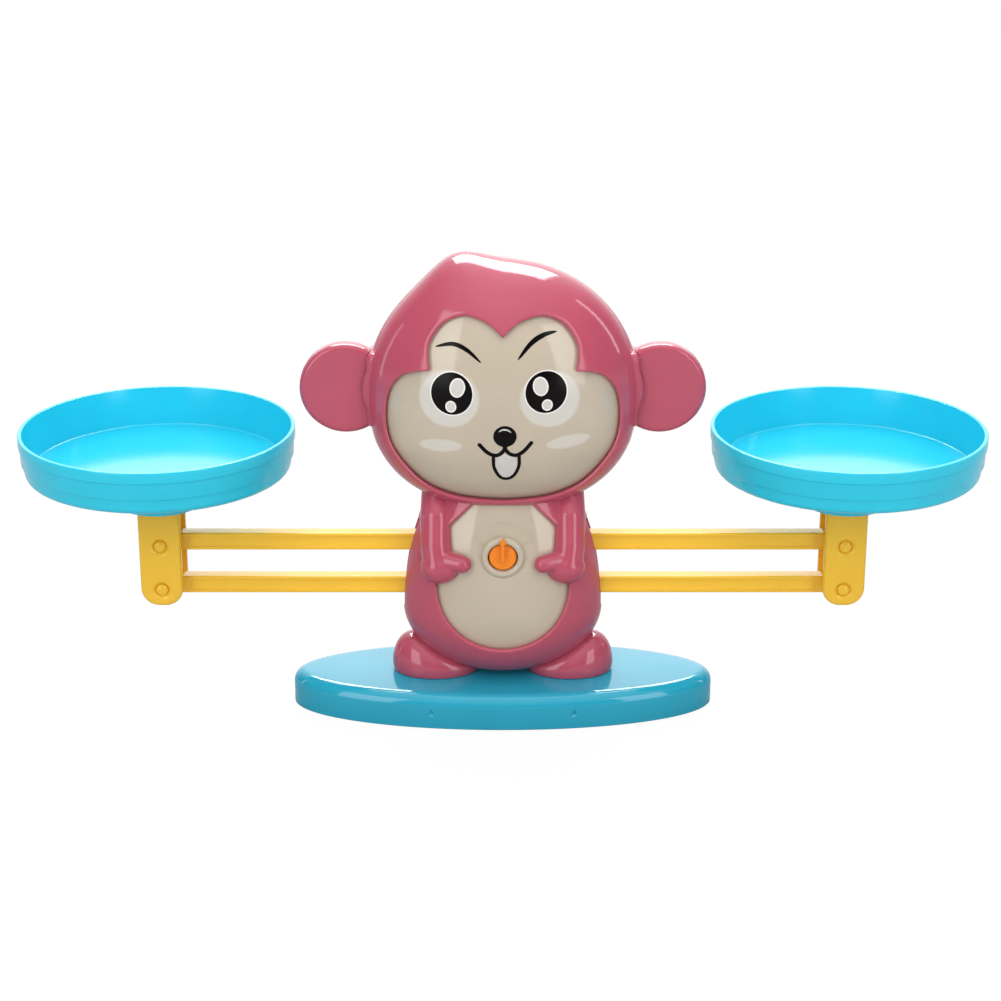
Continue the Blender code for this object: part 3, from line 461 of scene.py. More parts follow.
def rod(radius: float, start: float, end: float, x: float, z: float, steps: int = 40) -> bmesh.types.BMesh:
    """A plain round bar along Y, for Booleans."""
    return turned([(0.0, start), (radius, start), (radius, end), (0.0, end)], steps, (x, 0.0, z), Axis.DEPTH)


def post(radius: float, low: float, high: float, x: float, y: float, steps: int = 40) -> bmesh.types.BMesh:
    """A plain round bar along Z, for Booleans."""
    return turned([(0.0, low), (radius, low), (radius, high), (0.0, high)], steps, (x, y, 0.0))


def slab(low: Sequence[float], high: Sequence[float], edge: float = 0.0, segments: int = 4) -> bmesh.types.BMesh:
    """A box between two corners, with every edge rounded by the same radius."""
    bm = bmesh.new()
    size = [high[i] - low[i] for i in range(3)]
    middle = [(high[i] + low[i]) / 2 for i in range(3)]
    bmesh.ops.create_cube(bm, size=1.0, matrix=Matrix.Translation(middle) @ Matrix.Diagonal((*size, 1.0)))
    if edge > 0.0:
        soften(bm, list(bm.edges), edge, segments)
    return bm


def extruded(outline: Path, start: float, end: float, edge: float = 0.0, back_edge: float = 0.0,
             segments: int = 5) -> bmesh.types.BMesh:
    """Extrude an outline of x and z along Y, and round the edges of its two faces.

    Args:
        outline: The outline's points.
        start: Y of the front face.
        end: Y of the back face.
        edge: The front face's rounding radius.
        back_edge: The back face's rounding radius.
        segments: How many faces the rounding has.

    Returns:
        A closed prism.
    """
    bm = bmesh.new()
    bm.faces.new([bm.verts.new((x, start, z)) for x, z in outline])
    pull_out(bm, (0.0, end - start, 0.0))
    for place, radius in ((start, edge), (end, back_edge)):
        rims = [item for item in bm.edges if all(abs(vert.co.y - place) < 1e-5 for vert in item.verts)]
        if radius > 0.0:
            soften(bm, rims, radius, segments)
    return bm


def smooth_run(points: Path, steps: int = 6) -> list[Vector]:
    """Points of a Catmull-Rom curve, without its last point."""
    padded = [points[0], *points, points[-1]]
    run = []
    for index in range(1, len(padded) - 2):
        before, here, there, after = (Vector(point) for point in padded[index - 1:index + 3])
        for step in range(steps):
            t = step / steps
            run.append(0.5 * (2 * here + (there - before) * t
                              + (2 * before - 5 * here + 4 * there - after) * t ** 2
                              + (3 * here - before - 3 * there + after) * t ** 3))
    return run


@dataclass(frozen=True)
class Outline:
    """A closed outline of x and z, symmetrical about x = 0 and star-shaped about its form's centre."""

    half: tuple[tuple[float, float], ...]

    def closed(self) -> list[Vector]:
        """All its points, anticlockwise from the face's side."""
        right = [Vector(point) for point in self.half]
        left = [Vector((-point.x, point.y)) for point in reversed(right[1:-1])]
        return list(reversed(right + left))

    def reach(self, centre: tuple[float, float], angle: float, margin: float = 0.0) -> float:
        """How far the outline lies from a centre in one direction.

        Args:
            centre: The centre in x and z.
            angle: The direction in radians from +X towards +Z.
            margin: How much further out to go.

        Returns:
            The distance.
        """
        ray = Vector((math.cos(angle), math.sin(angle)))
        points = self.closed()
        best = 0.0
        for start, end in zip(points, points[1:] + points[:1]):
            run = end - start
            across = ray.x * run.y - ray.y * run.x
            if abs(across) < 1e-12:
                continue
            gap = start - Vector(centre)
            distance = (gap.x * run.y - gap.y * run.x) / across
            share = (gap.x * ray.y - gap.y * ray.x) / across
            if distance > 0.0 and -1e-6 <= share <= 1.0 + 1e-6:
                best = max(best, distance)
        return best + margin


@dataclass(frozen=True)
class Form:
    """A rounded form with four half axes, squarer below its middle where low_power is above 2."""

    centre: tuple[float, float, float]
    half_width: float
    half_depth: float
    rise: float
    drop: float
    low_power: float = 2.0
    crest_height: float = 0.0
    crest_radius: float = 11.5
    crest_offset: float = 16.5

    def point(self, turn: float, polar: float, inset: float = 0.0) -> Vector:
        """A point of the surface.

        Args:
            turn: The direction about the depth axis, in radians from +X towards +Z.
            polar: The angle from the front pole, in radians.
            inset: How far inside the outer surface.

        Returns:
            The point.
        """
        ring = Vector((math.cos(turn), math.sin(turn)))
        height = (self.rise if ring.y > 0.0 else self.drop) - inset
        ring = Vector((ring.x / (self.half_width - inset), ring.y / height)).normalized() * math.sin(polar)
        x, y, z = ring.x, -math.cos(polar), ring.y
        power = 2.0 + (self.low_power - 2.0) * min(1.0, max(0.0, -z / 0.4))
        reach = (abs(x) ** power + abs(y) ** power + abs(z) ** power) ** (-1.0 / power)
        spot = Vector((x * (self.half_width - inset), y * (self.half_depth - inset), z * height)) * reach
        if self.crest_height and spot.z > 0.0:
            away = Vector((spot.x + self.crest_offset, spot.y * 0.6)).length / self.crest_radius
            spot.z += self.crest_height * math.exp(-away ** 2) * min(1.0, spot.z / self.drop)
        return Vector(self.centre) + spot

    def polar_at(self, turn: float, distance: float, inset: float = 0.0) -> float:
        """The polar angle at which the surface is a distance from the depth axis, in one direction."""
        low, high = 0.0, math.pi / 2
        middle = Vector((self.centre[0], self.centre[2]))
        for _ in range(40):
            polar = (low + high) / 2
            spot = self.point(turn, polar, inset)
            if (Vector((spot.x, spot.z)) - middle).length < distance:
                low = polar
            else:
                high = polar
        return (low + high) / 2

    def front(self, x: float, z: float, inset: float = 0.0) -> Vector:
        """The point of the front at x and z."""
        offset = Vector((x - self.centre[0], z - self.centre[2]))
        if offset.length < 1e-6:
            return self.point(0.0, 0.0, inset)
        turn = math.atan2(offset.y, offset.x)
        return self.point(turn, self.polar_at(turn, offset.length, inset), inset)

    def normal(self, turn: float, polar: float, inset: float = 0.0) -> Vector:
        """The outward normal of the surface."""
        step = 1e-3
        round_ = self.point(turn + step, polar, inset) - self.point(turn - step, polar, inset)
        outward = self.point(turn, polar + step, inset) - self.point(turn, polar - step, inset)
        normal = round_.cross(outward).normalized()
        return normal if normal.dot(self.point(turn, polar, inset) - Vector(self.centre)) > 0.0 else -normal

    def ball(self, inset: float = 0.0, sectors: int = 96, rings: int = 64) -> bmesh.types.BMesh:
        """The whole closed form.

        Args:
            inset: How far inside the outer surface.
            sectors: Faces round the depth axis.
            rings: Faces from the front pole to the back pole.

        Returns:
            A closed mesh.
        """
        return self.remapped(sectors, rings, lambda turn, ring: self.point(turn, math.pi * ring / rings, inset))

    def remapped(self, sectors: int, rings: int, place: Callable[[float, int], Vector]) -> bmesh.types.BMesh:
        """Move every point of a sphere whose poles lie in front and behind.

        Args:
            sectors: Faces round the depth axis.
            rings: Faces from the front pole to the back pole.
            place: Where a point goes, from its turn and its ring's number.

        Returns:
            A closed mesh.
        """
        bm = bmesh.new()
        bmesh.ops.create_uvsphere(bm, u_segments=sectors, v_segments=rings, radius=1.0,
                                  matrix=Matrix.Rotation(math.pi / 2, 4, "X"))
        for vert in bm.verts:
            ring = round(math.acos(max(-1.0, min(1.0, -vert.co.y))) / math.pi * rings)
            turn = math.atan2(vert.co.z, vert.co.x)
            vert.co = place(turn, ring)
        bmesh.ops.recalc_face_normals(bm, faces=bm.faces)
        return bm

    def windowed(self, window: Outline, lip: float, depth: float, sectors: int, rings: int) -> bmesh.types.BMesh:
        """The closed form with a pocket behind a window, whose rim is rounded like a moulded lip.

        Args:
            window: The window's outline.
            lip: The rim's rounding radius.
            depth: How far the pocket's wall runs back.
            sectors: Faces round the depth axis.
            rings: Faces from the front pole to the back pole.

        Returns:
            A closed mesh.
        """
        middle = (self.centre[0], self.centre[2])
        floor_rings, lip_rings = 3, 5
        edges: dict[float, tuple[float, Vector, Vector, Vector]] = {}

        def edge_of(turn: float) -> tuple[float, Vector, Vector, Vector]:
            """Where the window's edge crosses one direction: its polar angle, place, run and normal."""
            key = round(turn, 6)
            if key not in edges:
                polar = self.polar_at(turn, window.reach(middle, turn))
                spot = self.point(turn, polar)
                along = (self.point(turn, polar + 1e-3) - spot) / 1e-3
                edges[key] = (polar, spot, along, self.normal(turn, polar))
            return edges[key]

        def place(turn: float, ring: int) -> Vector:
            """A point of the pocket, the lip or the form behind it."""
            polar, spot, along, normal = edge_of(turn)
            if ring <= floor_rings:
                wall = spot - normal * lip + Vector((0.0, depth, 0.0))
                heart = Vector((self.centre[0], self.centre[1] - self.half_depth * 0.2, self.centre[2]))
                return heart.lerp(wall, ring / floor_rings)
            if ring <= floor_rings + lip_rings:
                angle = math.pi / 2 * (1.0 - (ring - floor_rings - 1) / (lip_rings - 1))
                return (spot + along.normalized() * lip * (1.0 - math.sin(angle))
                        - normal * lip * (1.0 - math.cos(angle)))
            start = polar + lip / along.length
            share = (ring - floor_rings - lip_rings) / (rings - floor_rings - lip_rings)
            return self.point(turn, start + (math.pi - start) * share)

        return self.remapped(sectors, rings, place)


HEAD = Form((0.0, 0.0, 117.7), 47.0, 27.0, 45.7, 41.7, 2.35, crest_height=4.9)
BODY = Form((0.0, 0.0, 38.5), 35.3, 21.4, 60.0, 25.5)
BROW = ((0.0, 142.6), (3.5, 145.9), (7.6, 148.0), (13.6, 149.05), (20.4, 146.3), (25.0, 139.8),
        (25.4, 134.4), (24.7, 130.5))
CHEEK = ((24.7, 130.5), (29.1, 129.9), (34.6, 127.7), (38.9, 122.0), (40.4, 114.5), (40.0, 107.0),
         (37.9, 101.0), (32.8, 93.8), (25.6, 87.05), (14.8, 82.9), (0.0, 81.4))
FACE_WINDOW = Outline(tuple(tuple(point) for point in smooth_run(BROW) + smooth_run(CHEEK)) + (CHEEK[-1],))
BELLY_TOP = ((0.0, 83.2), (7.8, 83.2), (20.0, 71.0), (22.7, 65.5), (23.5, 58.5))
BELLY_BOWL = tuple((23.5 * x, 51.0 + 23.8 * z) for x, z in rounded((0.0, 0.0), 1.0, 0.0, -90.0, 24))
BELLY_WINDOW = Outline(BELLY_TOP + BELLY_BOWL)


def web(sectors: int, rings: int, place: Callable[[float, int], Vector],
        centre_open: bool = False) -> bmesh.types.BMesh:
    """A disc of sectors and rings, laid over a surface.

    Args:
        sectors: Faces round the disc.
        rings: Faces from its middle to its rim.
        place: Where a point goes, from its turn and its ring's number.
        centre_open: Whether ring 0 is a hole's edge instead of one point.

    Returns:
        An open mesh.
    """
    bm = bmesh.new()
    first = 1.0 if centre_open else 0.0
    verts = [bm.verts.new((first + ring, 0.0, 0.0)) for ring in range(rings + 1)]
    edges = [bm.edges.new(pair) for pair in zip(verts, verts[1:])]
    bmesh.ops.spin(bm, geom=verts + edges, axis=(0, 0, 1), cent=(0, 0, 0), angle=TURN, steps=sectors,
                   use_merge=True)
    bmesh.ops.remove_doubles(bm, verts=bm.verts, dist=1e-4)
    for vert in bm.verts:
        vert.co = place(math.atan2(vert.co.y, vert.co.x), round(vert.co.length - first))
    bmesh.ops.recalc_face_normals(bm, faces=bm.faces)
    return bm


def face_forward(bm: bmesh.types.BMesh) -> None:
    """Turn an open skin so that its faces look towards the face's side."""
    if sum(face.normal.y * face.calc_area() for face in bm.faces) > 0.0:
        bmesh.ops.reverse_faces(bm, faces=bm.faces)


def thicken(bm: bmesh.types.BMesh, wall: float) -> None:
    """Give an open skin a wall behind it, and close its rims."""
    bm.normal_update()
    face_forward(bm)
    bmesh.ops.solidify(bm, geom=list(bm.faces), thickness=wall)
    bm.normal_update()


@dataclass
class Monkey:
    """The two pink shells: head, body, arms and feet, parted at the plane of the beams."""

    finishes: Finishes
    wall: float = 2.0
    sole: float = 12.8
    parting: float = 0.10
    foot_x: float = 24.0
    arm_radius: float = 5.6
    thumb_radius: float = 3.1
    collar_reach: float = 48.5
    collar_half: float = 13.6
    ear_z: float = 118.5
    root_span: tuple[float, float] = (41.5, 52.0)
    root_half_depth: float = 2.8
    root_half_height: float = 9.8
    slot_span: tuple[float, float] = (22.0, 40.0)
    slot_half_depth: float = 3.5
    slot_low: float = 36.8
    slot_high: float = 71.2
    boss_radius: float = 4.0
    screw_places: tuple[tuple[float, float], ...] = ((32.9, 139.2), (25.1, 31.1))

    def foot(self, side: int, inset: float = 0.0, sectors: int = 64, rings: int = 40) -> bmesh.types.BMesh:
        """A foot whose dome is high on its outer side."""
        form = Form((side * self.foot_x, 0.0, self.sole + 2.5), 15.5, 11.0, 9.4, 9.4)
        bm = form.ball(inset, sectors, rings)
        for vert in bm.verts:
            height = vert.co.z - form.centre[2]
            if height > 0.0:
                outward = (vert.co.x - form.centre[0]) * side / form.half_width
                vert.co.z = form.centre[2] + height * (1.0 + 0.83 * outward)
        return bm

    def collar(self, side: int, margin: float = 0.0) -> bmesh.types.BMesh:
        """The raised band of the head round an ear's root, which bulges towards the ear."""
        deep, half = 6.5 + margin, self.collar_half + margin
        corner, bow = 3.2, 1.6
        inner, outer = 36.0, self.collar_reach + margin - bow - corner
        side_arc = rounded((outer, half - corner), corner, 90.0, 14.0, 6)
        crown = [(outer + corner + bow * (1.0 - (height / 7.5) ** 2), height) for height in (7.5, 5.0, 2.5)]
        upper = [(inner, half)] + side_arc + crown
        lower = [(x, -z) for x, z in reversed(upper)]
        outline = upper + [(outer + corner + bow, 0.0)] + lower
        return extruded([(side * x, self.ear_z + z) for x, z in outline], -deep, deep, 2.3, 2.3, 6)

    def limb(self, path: Sequence[Vector], radii: Sequence[float], steps: int = 40) -> bmesh.types.BMesh:
        """A tube through round stations, with round tips, remapped from a sphere.

        Args:
            path: The stations' centres.
            radii: The stations' radii.
            steps: Faces round the tube.

        Returns:
            A closed mesh.
        """
        tips = 6
        stations = []
        for end, step in ((0, 1), (-1, -1)):
            along = (path[end + step] - path[end]).normalized()
            cap = [(path[end] - along * radii[end] * math.cos(math.pi / 2 * k / tips), along * step,
                    radii[end] * math.sin(math.pi / 2 * k / tips)) for k in range(tips)]
            if end == 0:
                stations += cap + [(path[0], along, radii[0])]
                for index in range(1, len(path) - 1):
                    stations.append((path[index], (path[index + 1] - path[index - 1]).normalized(), radii[index]))
            else:
                stations += [(path[-1], -along, radii[-1])] + list(reversed(cap))
        rings = len(stations) - 1
        bm = bmesh.new()
        bmesh.ops.create_uvsphere(bm, u_segments=steps, v_segments=rings, radius=1.0)
        for vert in bm.verts:
            ring = round(math.acos(max(-1.0, min(1.0, vert.co.z))) / math.pi * rings)
            turn = math.atan2(vert.co.y, vert.co.x)
            centre, along, radius = stations[ring]
            spoke = Vector((math.cos(turn), math.sin(turn), 0.0))
            vert.co = centre + along.to_track_quat("Z", "Y").to_matrix() @ spoke * radius
        bmesh.ops.recalc_face_normals(bm, faces=bm.faces)
        return bm

    def arm(self, side: int) -> bmesh.types.BMesh:
        """One arm in relief, with its mitten and thumb blended into it.

        Args:
            side: -1 for the left arm, 1 for the right one.

        Returns:
            A closed mesh.
        """
        def on_chest(x: float, z: float, sunk: float) -> Vector:
            """A point in the body's front, below its surface."""
            return BODY.front(side * x, z) + Vector((0.0, sunk, 0.0))

        sleeve = Solid(self.limb([on_chest(22.6, 84.0, 1.6), on_chest(23.2, 74.0, 1.3),
                                  on_chest(23.2, 65.0, 1.1), on_chest(22.4, 58.2, 0.9)], [self.arm_radius] * 4))
        palm = on_chest(21.8, 57.4, 0.8)
        mitten = bmesh.new()
        bmesh.ops.create_uvsphere(mitten, u_segments=48, v_segments=32, radius=1.0,
                                  matrix=Matrix.Translation(palm) @ Matrix.Diagonal((6.9, 5.4, 6.0, 1.0)))
        thumb = self.limb([on_chest(18.6, 60.0, 0.4), on_chest(13.9, 59.6, 0.3)],
                          [self.thumb_radius * 1.12, self.thumb_radius])
        sleeve.carve(Carve.JOIN, Solid(mitten), Solid(thumb))
        skin = sleeve.obj.modifiers.new("skin", "REMESH")
        skin.mode = "VOXEL"
        skin.voxel_size = 0.36
        relax = sleeve.obj.modifiers.new("relax", "SMOOTH")
        relax.factor = 0.5
        relax.iterations = 14
        as_shaped(sleeve.obj)
        return sleeve.take()

    def whole(self) -> Solid:
        """The hollow monkey before it is parted."""
        shell = Solid(BODY.windowed(BELLY_WINDOW, 0.7, 5.0, 160, 110))
        shell.carve(Carve.JOIN, Solid(HEAD.windowed(FACE_WINDOW, 0.8, 7.0, 200, 120)))
        shell.carve(Carve.JOIN, *(Solid(part) for side in (-1, 1) for part in (self.collar(side), self.foot(side))))
        shell.carve(Carve.JOIN, Solid(self.arm(-1)), Solid(self.arm(1)))
        head_room = Solid(HEAD.ball(self.wall, 80, 56))
        body_room = Solid(BODY.ball(self.wall, 80, 56))
        for side in (-1, 1):
            for room, (x, z) in zip((head_room, body_room), self.screw_places):
                room.carve(Carve.CUT, Solid(rod(self.boss_radius, -30.0, 30.0, side * x, z, 32)))
        shell.carve(Carve.CUT, head_room, body_room)
        return shell.carve(Carve.CUT, *(Solid(self.foot(side, self.wall, 40, 24)) for side in (-1, 1)))

    def openings(self) -> list[bmesh.types.BMesh]:
        """The cutters for the sole, the beam slots, the ear roots and the screw holes."""
        cutters = [slab((-60.0, -40.0, 0.0), (60.0, 40.0, self.sole))]
        for side in (-1, 1):
            low, high = sorted(side * x for x in self.slot_span)
            cutters.append(slab((low, -self.slot_half_depth, self.slot_low),
                                (high, self.slot_half_depth, self.slot_high), 1.2, 4))
            low, high = sorted(side * x for x in self.root_span)
            cutters.append(slab((low, -self.root_half_depth, self.ear_z - self.root_half_height),
                                (high, self.root_half_depth, self.ear_z + self.root_half_height)))
            for x, z in self.screw_places:
                cutters.append(turned([(0.0, -7.0), (1.4, -7.0), (1.4, 3.0), (2.9, 3.0), (2.9, 45.0), (0.0, 45.0)],
                                      32, (side * x, 0.0, z), Axis.DEPTH))
        return cutters

    def build(self) -> None:
        """Part the monkey into its two shells."""
        whole = self.whole()
        halves = (("front_shell_skin", "front_shell", -60.0, -self.parting),
                  ("back_shell_skin", "back_shell", self.parting, 60.0))
        for name, node, start, end in halves:
            half = whole.copy().carve(Carve.KEEP, Solid(slab((-80.0, start, 0.0), (80.0, end, 200.0))))
            half.carve(Carve.CUT, *(Solid(cutter) for cutter in self.openings()))
            publish(half.take(), name, "stand", self.finishes.pink, [node], 32.0)
        whole.discard()


@dataclass
class Panels:
    """The two beige plates behind the windows, and what is moulded into them."""

    finishes: Finishes
    inset: float = 2.3
    wall: float = 1.6
    flange: float = 2.2
    dial_z: float = 62.1
    hole: float = 5.2
    ring: float = 7.5
    ring_height: float = 1.4

    def face(self) -> None:
        """The face plate, which follows the head just inside its wall."""
        middle = (HEAD.centre[0], HEAD.centre[2])
        edges: dict[float, float] = {}

        def place(turn: float, ring: int) -> Vector:
            """A point of the face plate."""
            key = round(turn, 5)
            if key not in edges:
                edges[key] = HEAD.polar_at(turn, FACE_WINDOW.reach(middle, turn, self.flange), self.inset)
            return HEAD.point(turn, edges[key] * ring / 30, self.inset)

        plate = web(180, 30, place)
        thicken(plate, self.wall)
        publish(plate, "face_plate", "stand", self.finishes.beige, ["face_panel"])

    def belly(self) -> None:
        """The belly plate with the dial's raised ring and hole."""
        middle = (0.0, self.dial_z)
        crown = BODY.front(0.0, self.dial_z, self.inset).y - self.ring_height
        profile = [(self.hole, crown + 3.0), (self.hole, crown + 0.7), (self.hole + 0.2, crown + 0.3),
                   (self.hole + 0.6, crown + 0.05), (self.hole + 1.0, crown), (self.ring - 1.0, crown + 0.05),
                   (self.ring - 0.45, crown + 0.3), (self.ring - 0.1, crown + 0.75), (self.ring + 0.05, crown + 1.2)]
        outer = 34

        def place(turn: float, ring: int) -> Vector:
            """A point of the ring's section, or of the plate outside it."""
            spoke = Vector((math.cos(turn), 0.0, math.sin(turn)))
            if ring < len(profile):
                radius, y = profile[ring]
                spot = spoke * radius + Vector((0.0, y, self.dial_z))
                if ring < len(profile) - 1:
                    return spot
                return BODY.front(spot.x, spot.z, self.inset)
            reach = BELLY_WINDOW.reach(middle, turn, self.flange)
            share = (ring - len(profile) + 1) / (outer - len(profile) + 1)
            spot = spoke * (self.ring + 0.3 + (reach - self.ring - 0.3) * share) + Vector((0.0, 0.0, self.dial_z))
            return BODY.front(spot.x, spot.z, self.inset)

        plate = web(144, outer, place, centre_open=True)
        thicken(plate, 1.0)
        chin = HEAD.ball(self.inset - 0.3, 64, 48)
        trimmed = Solid(plate).carve(Carve.CUT, Solid(chin))
        publish(trimmed.take(), "belly_plate", "stand", self.finishes.beige, ["belly_panel"])

    def scale(self) -> None:
        """The faint fan moulded over the dial, which the pointer plays across."""
        strokes = [Stroke(tuple(rounded((0.0, self.dial_z), 11.9, 30.0, 150.0, 40)), 0.45)]
        for angle in (30.0, 150.0):
            spoke = rounded((0.0, self.dial_z), 1.0, angle, angle, 1)[0]
            ends = [(spoke[0] * r, self.dial_z + (spoke[1] - self.dial_z) * r) for r in (8.1, 10.0, 11.9)]
            strokes.append(Stroke(tuple(ends), 0.45))
        parts = [stroke.mesh(BODY, self.inset, 0.2) for stroke in strokes]
        publish(merged(parts), "belly_scale", "stand", self.finishes.beige)

    def build(self) -> None:
        """Make both plates."""
        self.face()
        self.belly()
        self.scale()


@dataclass(frozen=True)
class Stroke:
    """A brush stroke or a moulded line that lies on a form."""

    path: tuple[tuple[float, float], ...]
    width: float
    taper: bool = False

    def mesh(self, form: Form, inset: float, lift: float) -> bmesh.types.BMesh:
        """Lay the stroke on the form.

        Args:
            form: The form it follows.
            inset: How far inside the form's outer surface the plate lies.
            lift: How far the stroke stands proud.

        Returns:
            A closed strip.
        """
        points = [*smooth_run(self.path, 8), Vector(self.path[-1])]
        stations = self._stations(points)
        bm = bmesh.new()
        pairs = []
        for spot, across, half in stations:
            pair = [bm.verts.new(lifted(form, spot + across * half * sign, inset, lift)) for sign in (-1, 1)]
            pairs.append(pair)
        for here, there in zip(pairs, pairs[1:]):
            bm.faces.new((here[0], here[1], there[1], there[0]))
        thicken(bm, lift + 0.04)
        return bm

    def _stations(self, points: Sequence[Vector]) -> list[tuple[Vector, Vector, float]]:
        """Each station's middle, its sideways direction and its half width."""
        stations = []
        last = len(points) - 1
        half = self.width / 2
        for index, point in enumerate(points):
            along = (points[min(index + 1, last)] - points[max(index - 1, 0)]).normalized()
            across = Vector((-along.y, along.x))
            share = index / last
            width = half * (max(0.12, math.sin(math.pi * share) ** 0.6) if self.taper else 1.0)
            if index == 0 and not self.taper:
                stations += [(point - along * half * math.cos(a), across, half * max(0.05, math.sin(a)))
                             for a in (0.15, 0.5, 0.9, 1.25)]
            stations.append((point, across, width))
            if index == last and not self.taper:
                stations += [(point + along * half * math.cos(a), across, half * max(0.05, math.sin(a)))
                             for a in (1.25, 0.9, 0.5, 0.15)]
        return stations


def lifted(form: Form, spot: Vector, inset: float, lift: float) -> Vector:
    """A point that stands a little proud of a plate."""
    return form.front(spot.x, spot.y, inset) - Vector((0.0, lift, 0.0))


@dataclass(frozen=True)
class Patch:
    """A printed area with a closed outline, star-shaped about its middle."""

    centre: tuple[float, float]
    half_width: float
    half_height: float
    tilt: float = 0.0
    power: float = 2.0

    def mesh(self, form: Form, inset: float, lift: float, sectors: int = 64, rings: int = 8) -> bmesh.types.BMesh:
        """Lay the patch on the form.

        Args:
            form: The form it follows.
            inset: How far inside the form's outer surface the plate lies.
            lift: How far the ink stands proud.
            sectors: Faces round the patch.
            rings: Faces from its middle to its rim.

        Returns:
            A closed thin plate.
        """
        turn_by = Matrix.Rotation(math.radians(self.tilt), 2)

        def place(turn: float, ring: int) -> Vector:
            """A point of the patch."""
            x, z = math.cos(turn), math.sin(turn)
            reach = (abs(x) ** self.power + abs(z) ** self.power) ** (-1.0 / self.power) * ring / rings
            spot = turn_by @ Vector((x * self.half_width * reach, z * self.half_height * reach))
            return lifted(form, spot + Vector(self.centre), inset, lift)

        bm = web(sectors, rings, place)
        thicken(bm, lift + 0.04)
        return bm


@dataclass
class FacePrint:
    """The printed face, in four inks laid over each other on the face plate."""

    finishes: Finishes
    inset: float = 2.3

    def lay(self, name: str, marks: Sequence, lift: float, ink: bpy.types.Material) -> None:
        """Print one ink.

        Args:
            name: The piece's name.
            marks: Its strokes and patches.
            lift: The ink's height over the plate.
            ink: The finish.
        """
        publish(merged([mark.mesh(HEAD, self.inset, lift) for mark in marks]), name, "stand", ink)

    def build(self) -> None:
        """Print every ink, from the palest up."""
        eyes = {Side.LEFT: (-17.2, 123.0), Side.RIGHT: (14.5, 123.8)}
        patches = [Patch((-18.1, 121.1), 9.7, 9.4), Patch((15.8, 121.3), 9.7, 9.4)]
        blush = [Patch((-21.1, 104.5), 6.8, 1.9, 1.0), Patch((22.1, 105.9), 7.1, 1.9, 8.0)]
        halos = [Patch(mark.centre, mark.half_width + 0.6, mark.half_height + 0.5, mark.tilt)
                 for mark in patches + blush]
        self.lay("print_halos", halos, 0.015, self.finishes.halo_ink)
        self.lay("print_eye_patches", patches, 0.03, self.finishes.patch_ink)
        self.lay("print_blush", blush, 0.03, self.finishes.blush_ink)
        white = [Patch(centre, 7.35, 7.55) for centre in eyes.values()]
        self.lay("print_eye_rims", white, 0.045, self.finishes.white_ink)
        mouth_left = Stroke(((-7.9, 105.4), (-5.4, 102.7), (-2.9, 101.5), (-0.9, 102.0), (0.7, 103.9)), 1.35)
        mouth_right = Stroke(((0.7, 103.9), (2.3, 102.1), (4.6, 101.6), (7.1, 103.1), (9.6, 106.1)), 1.35)
        throat = Stroke(((0.7, 106.0), (0.7, 103.6)), 1.5)
        jaw = Stroke(((-3.2, 101.2), (-3.0, 97.0), (-1.2, 93.2), (1.2, 92.1), (3.7, 93.5), (5.4, 97.3), (5.5, 101.2)),
                     1.15)
        brow_left = Stroke(((-23.0, 137.9), (-17.2, 139.3), (-12.2, 137.7), (-7.4, 133.9)), 1.5, taper=True)
        brow_right = Stroke(((5.0, 134.9), (9.2, 139.9), (13.4, 142.5), (18.0, 143.4)), 1.7, taper=True)
        black = [Patch(centre, 6.95, 7.15) for centre in eyes.values()]
        black += [Patch((0.7, 108.5), 3.95, 3.85), mouth_left, mouth_right, throat, jaw, brow_left, brow_right]
        tongue = [Patch((1.15, 97.3), 3.75, 4.7, power=2.3)]
        self.lay("print_mouth", tongue, 0.045, self.finishes.grey_ink)
        self.lay("print_black", black, 0.06, self.finishes.black_ink)
        gleams = []
        for side, (x, z) in eyes.items():
            lean = -side.value
            gleams += [Patch((x + lean * 1.85, z + 2.1), 2.6, 3.3, 12.0 * -lean),
                       Patch((x + (-0.3 if side is Side.LEFT else 0.4), z - 4.4), 1.85, 2.0)]
        self.lay("print_gleam_rims", gleams, 0.075, self.finishes.white_ink)
        hearts = [Patch(gleam.centre, gleam.half_width - 0.45, gleam.half_height - 0.45, gleam.tilt)
                  for gleam in gleams]
        self.lay("print_gleams", hearts, 0.09, self.finishes.grey_ink)
        shine = Stroke(((-1.5, 110.2), (0.0, 111.0), (1.6, 110.8), (2.8, 110.0)), 0.6, taper=True)
        self.lay("print_nose_shine", [shine], 0.075, self.finishes.grey_ink)


@dataclass
class Ears:
    """Two flat round ears with soft edges, set against the head's collars."""

    finishes: Finishes
    monkey: Monkey
    radius: float = 15.9
    thickness: float = 6.4
    edge: float = 1.9
    centre_x: float = 54.1

    def build(self) -> None:
        """Make both ears."""
        half = self.thickness / 2
        rim = self.radius - self.edge
        profile = [(0.0, -half + 0.25), (rim * 0.55, -half + 0.18), (rim * 0.9, -half + 0.04)]
        profile += rounded((rim, self.edge - half), self.edge, -90.0, 0.0, 7)
        profile += rounded((rim, half - self.edge), self.edge, 0.0, 90.0, 7)
        profile += [(rim * 0.9, half - 0.04), (rim * 0.55, half - 0.18), (0.0, half - 0.25)]
        for side in Side:
            ear = Solid(turned(profile, 128, (side.value * self.centre_x, 0.0, self.monkey.ear_z), Axis.DEPTH))
            ear.carve(Carve.CUT, Solid(HEAD.ball(-0.15, 96, 64)), Solid(self.monkey.collar(side.value, 0.12)))
            low, high = sorted((side.value * 42.5, side.value * 50.0))
            root = slab((low, -2.5, self.monkey.ear_z - 9.5), (high, 2.5, self.monkey.ear_z + 9.5), 0.4, 2)
            ear.carve(Carve.JOIN, Solid(root))
            publish(ear.take(), side.word + "_ear_disc", "stand", self.finishes.pink, [side.word + "_ear"])


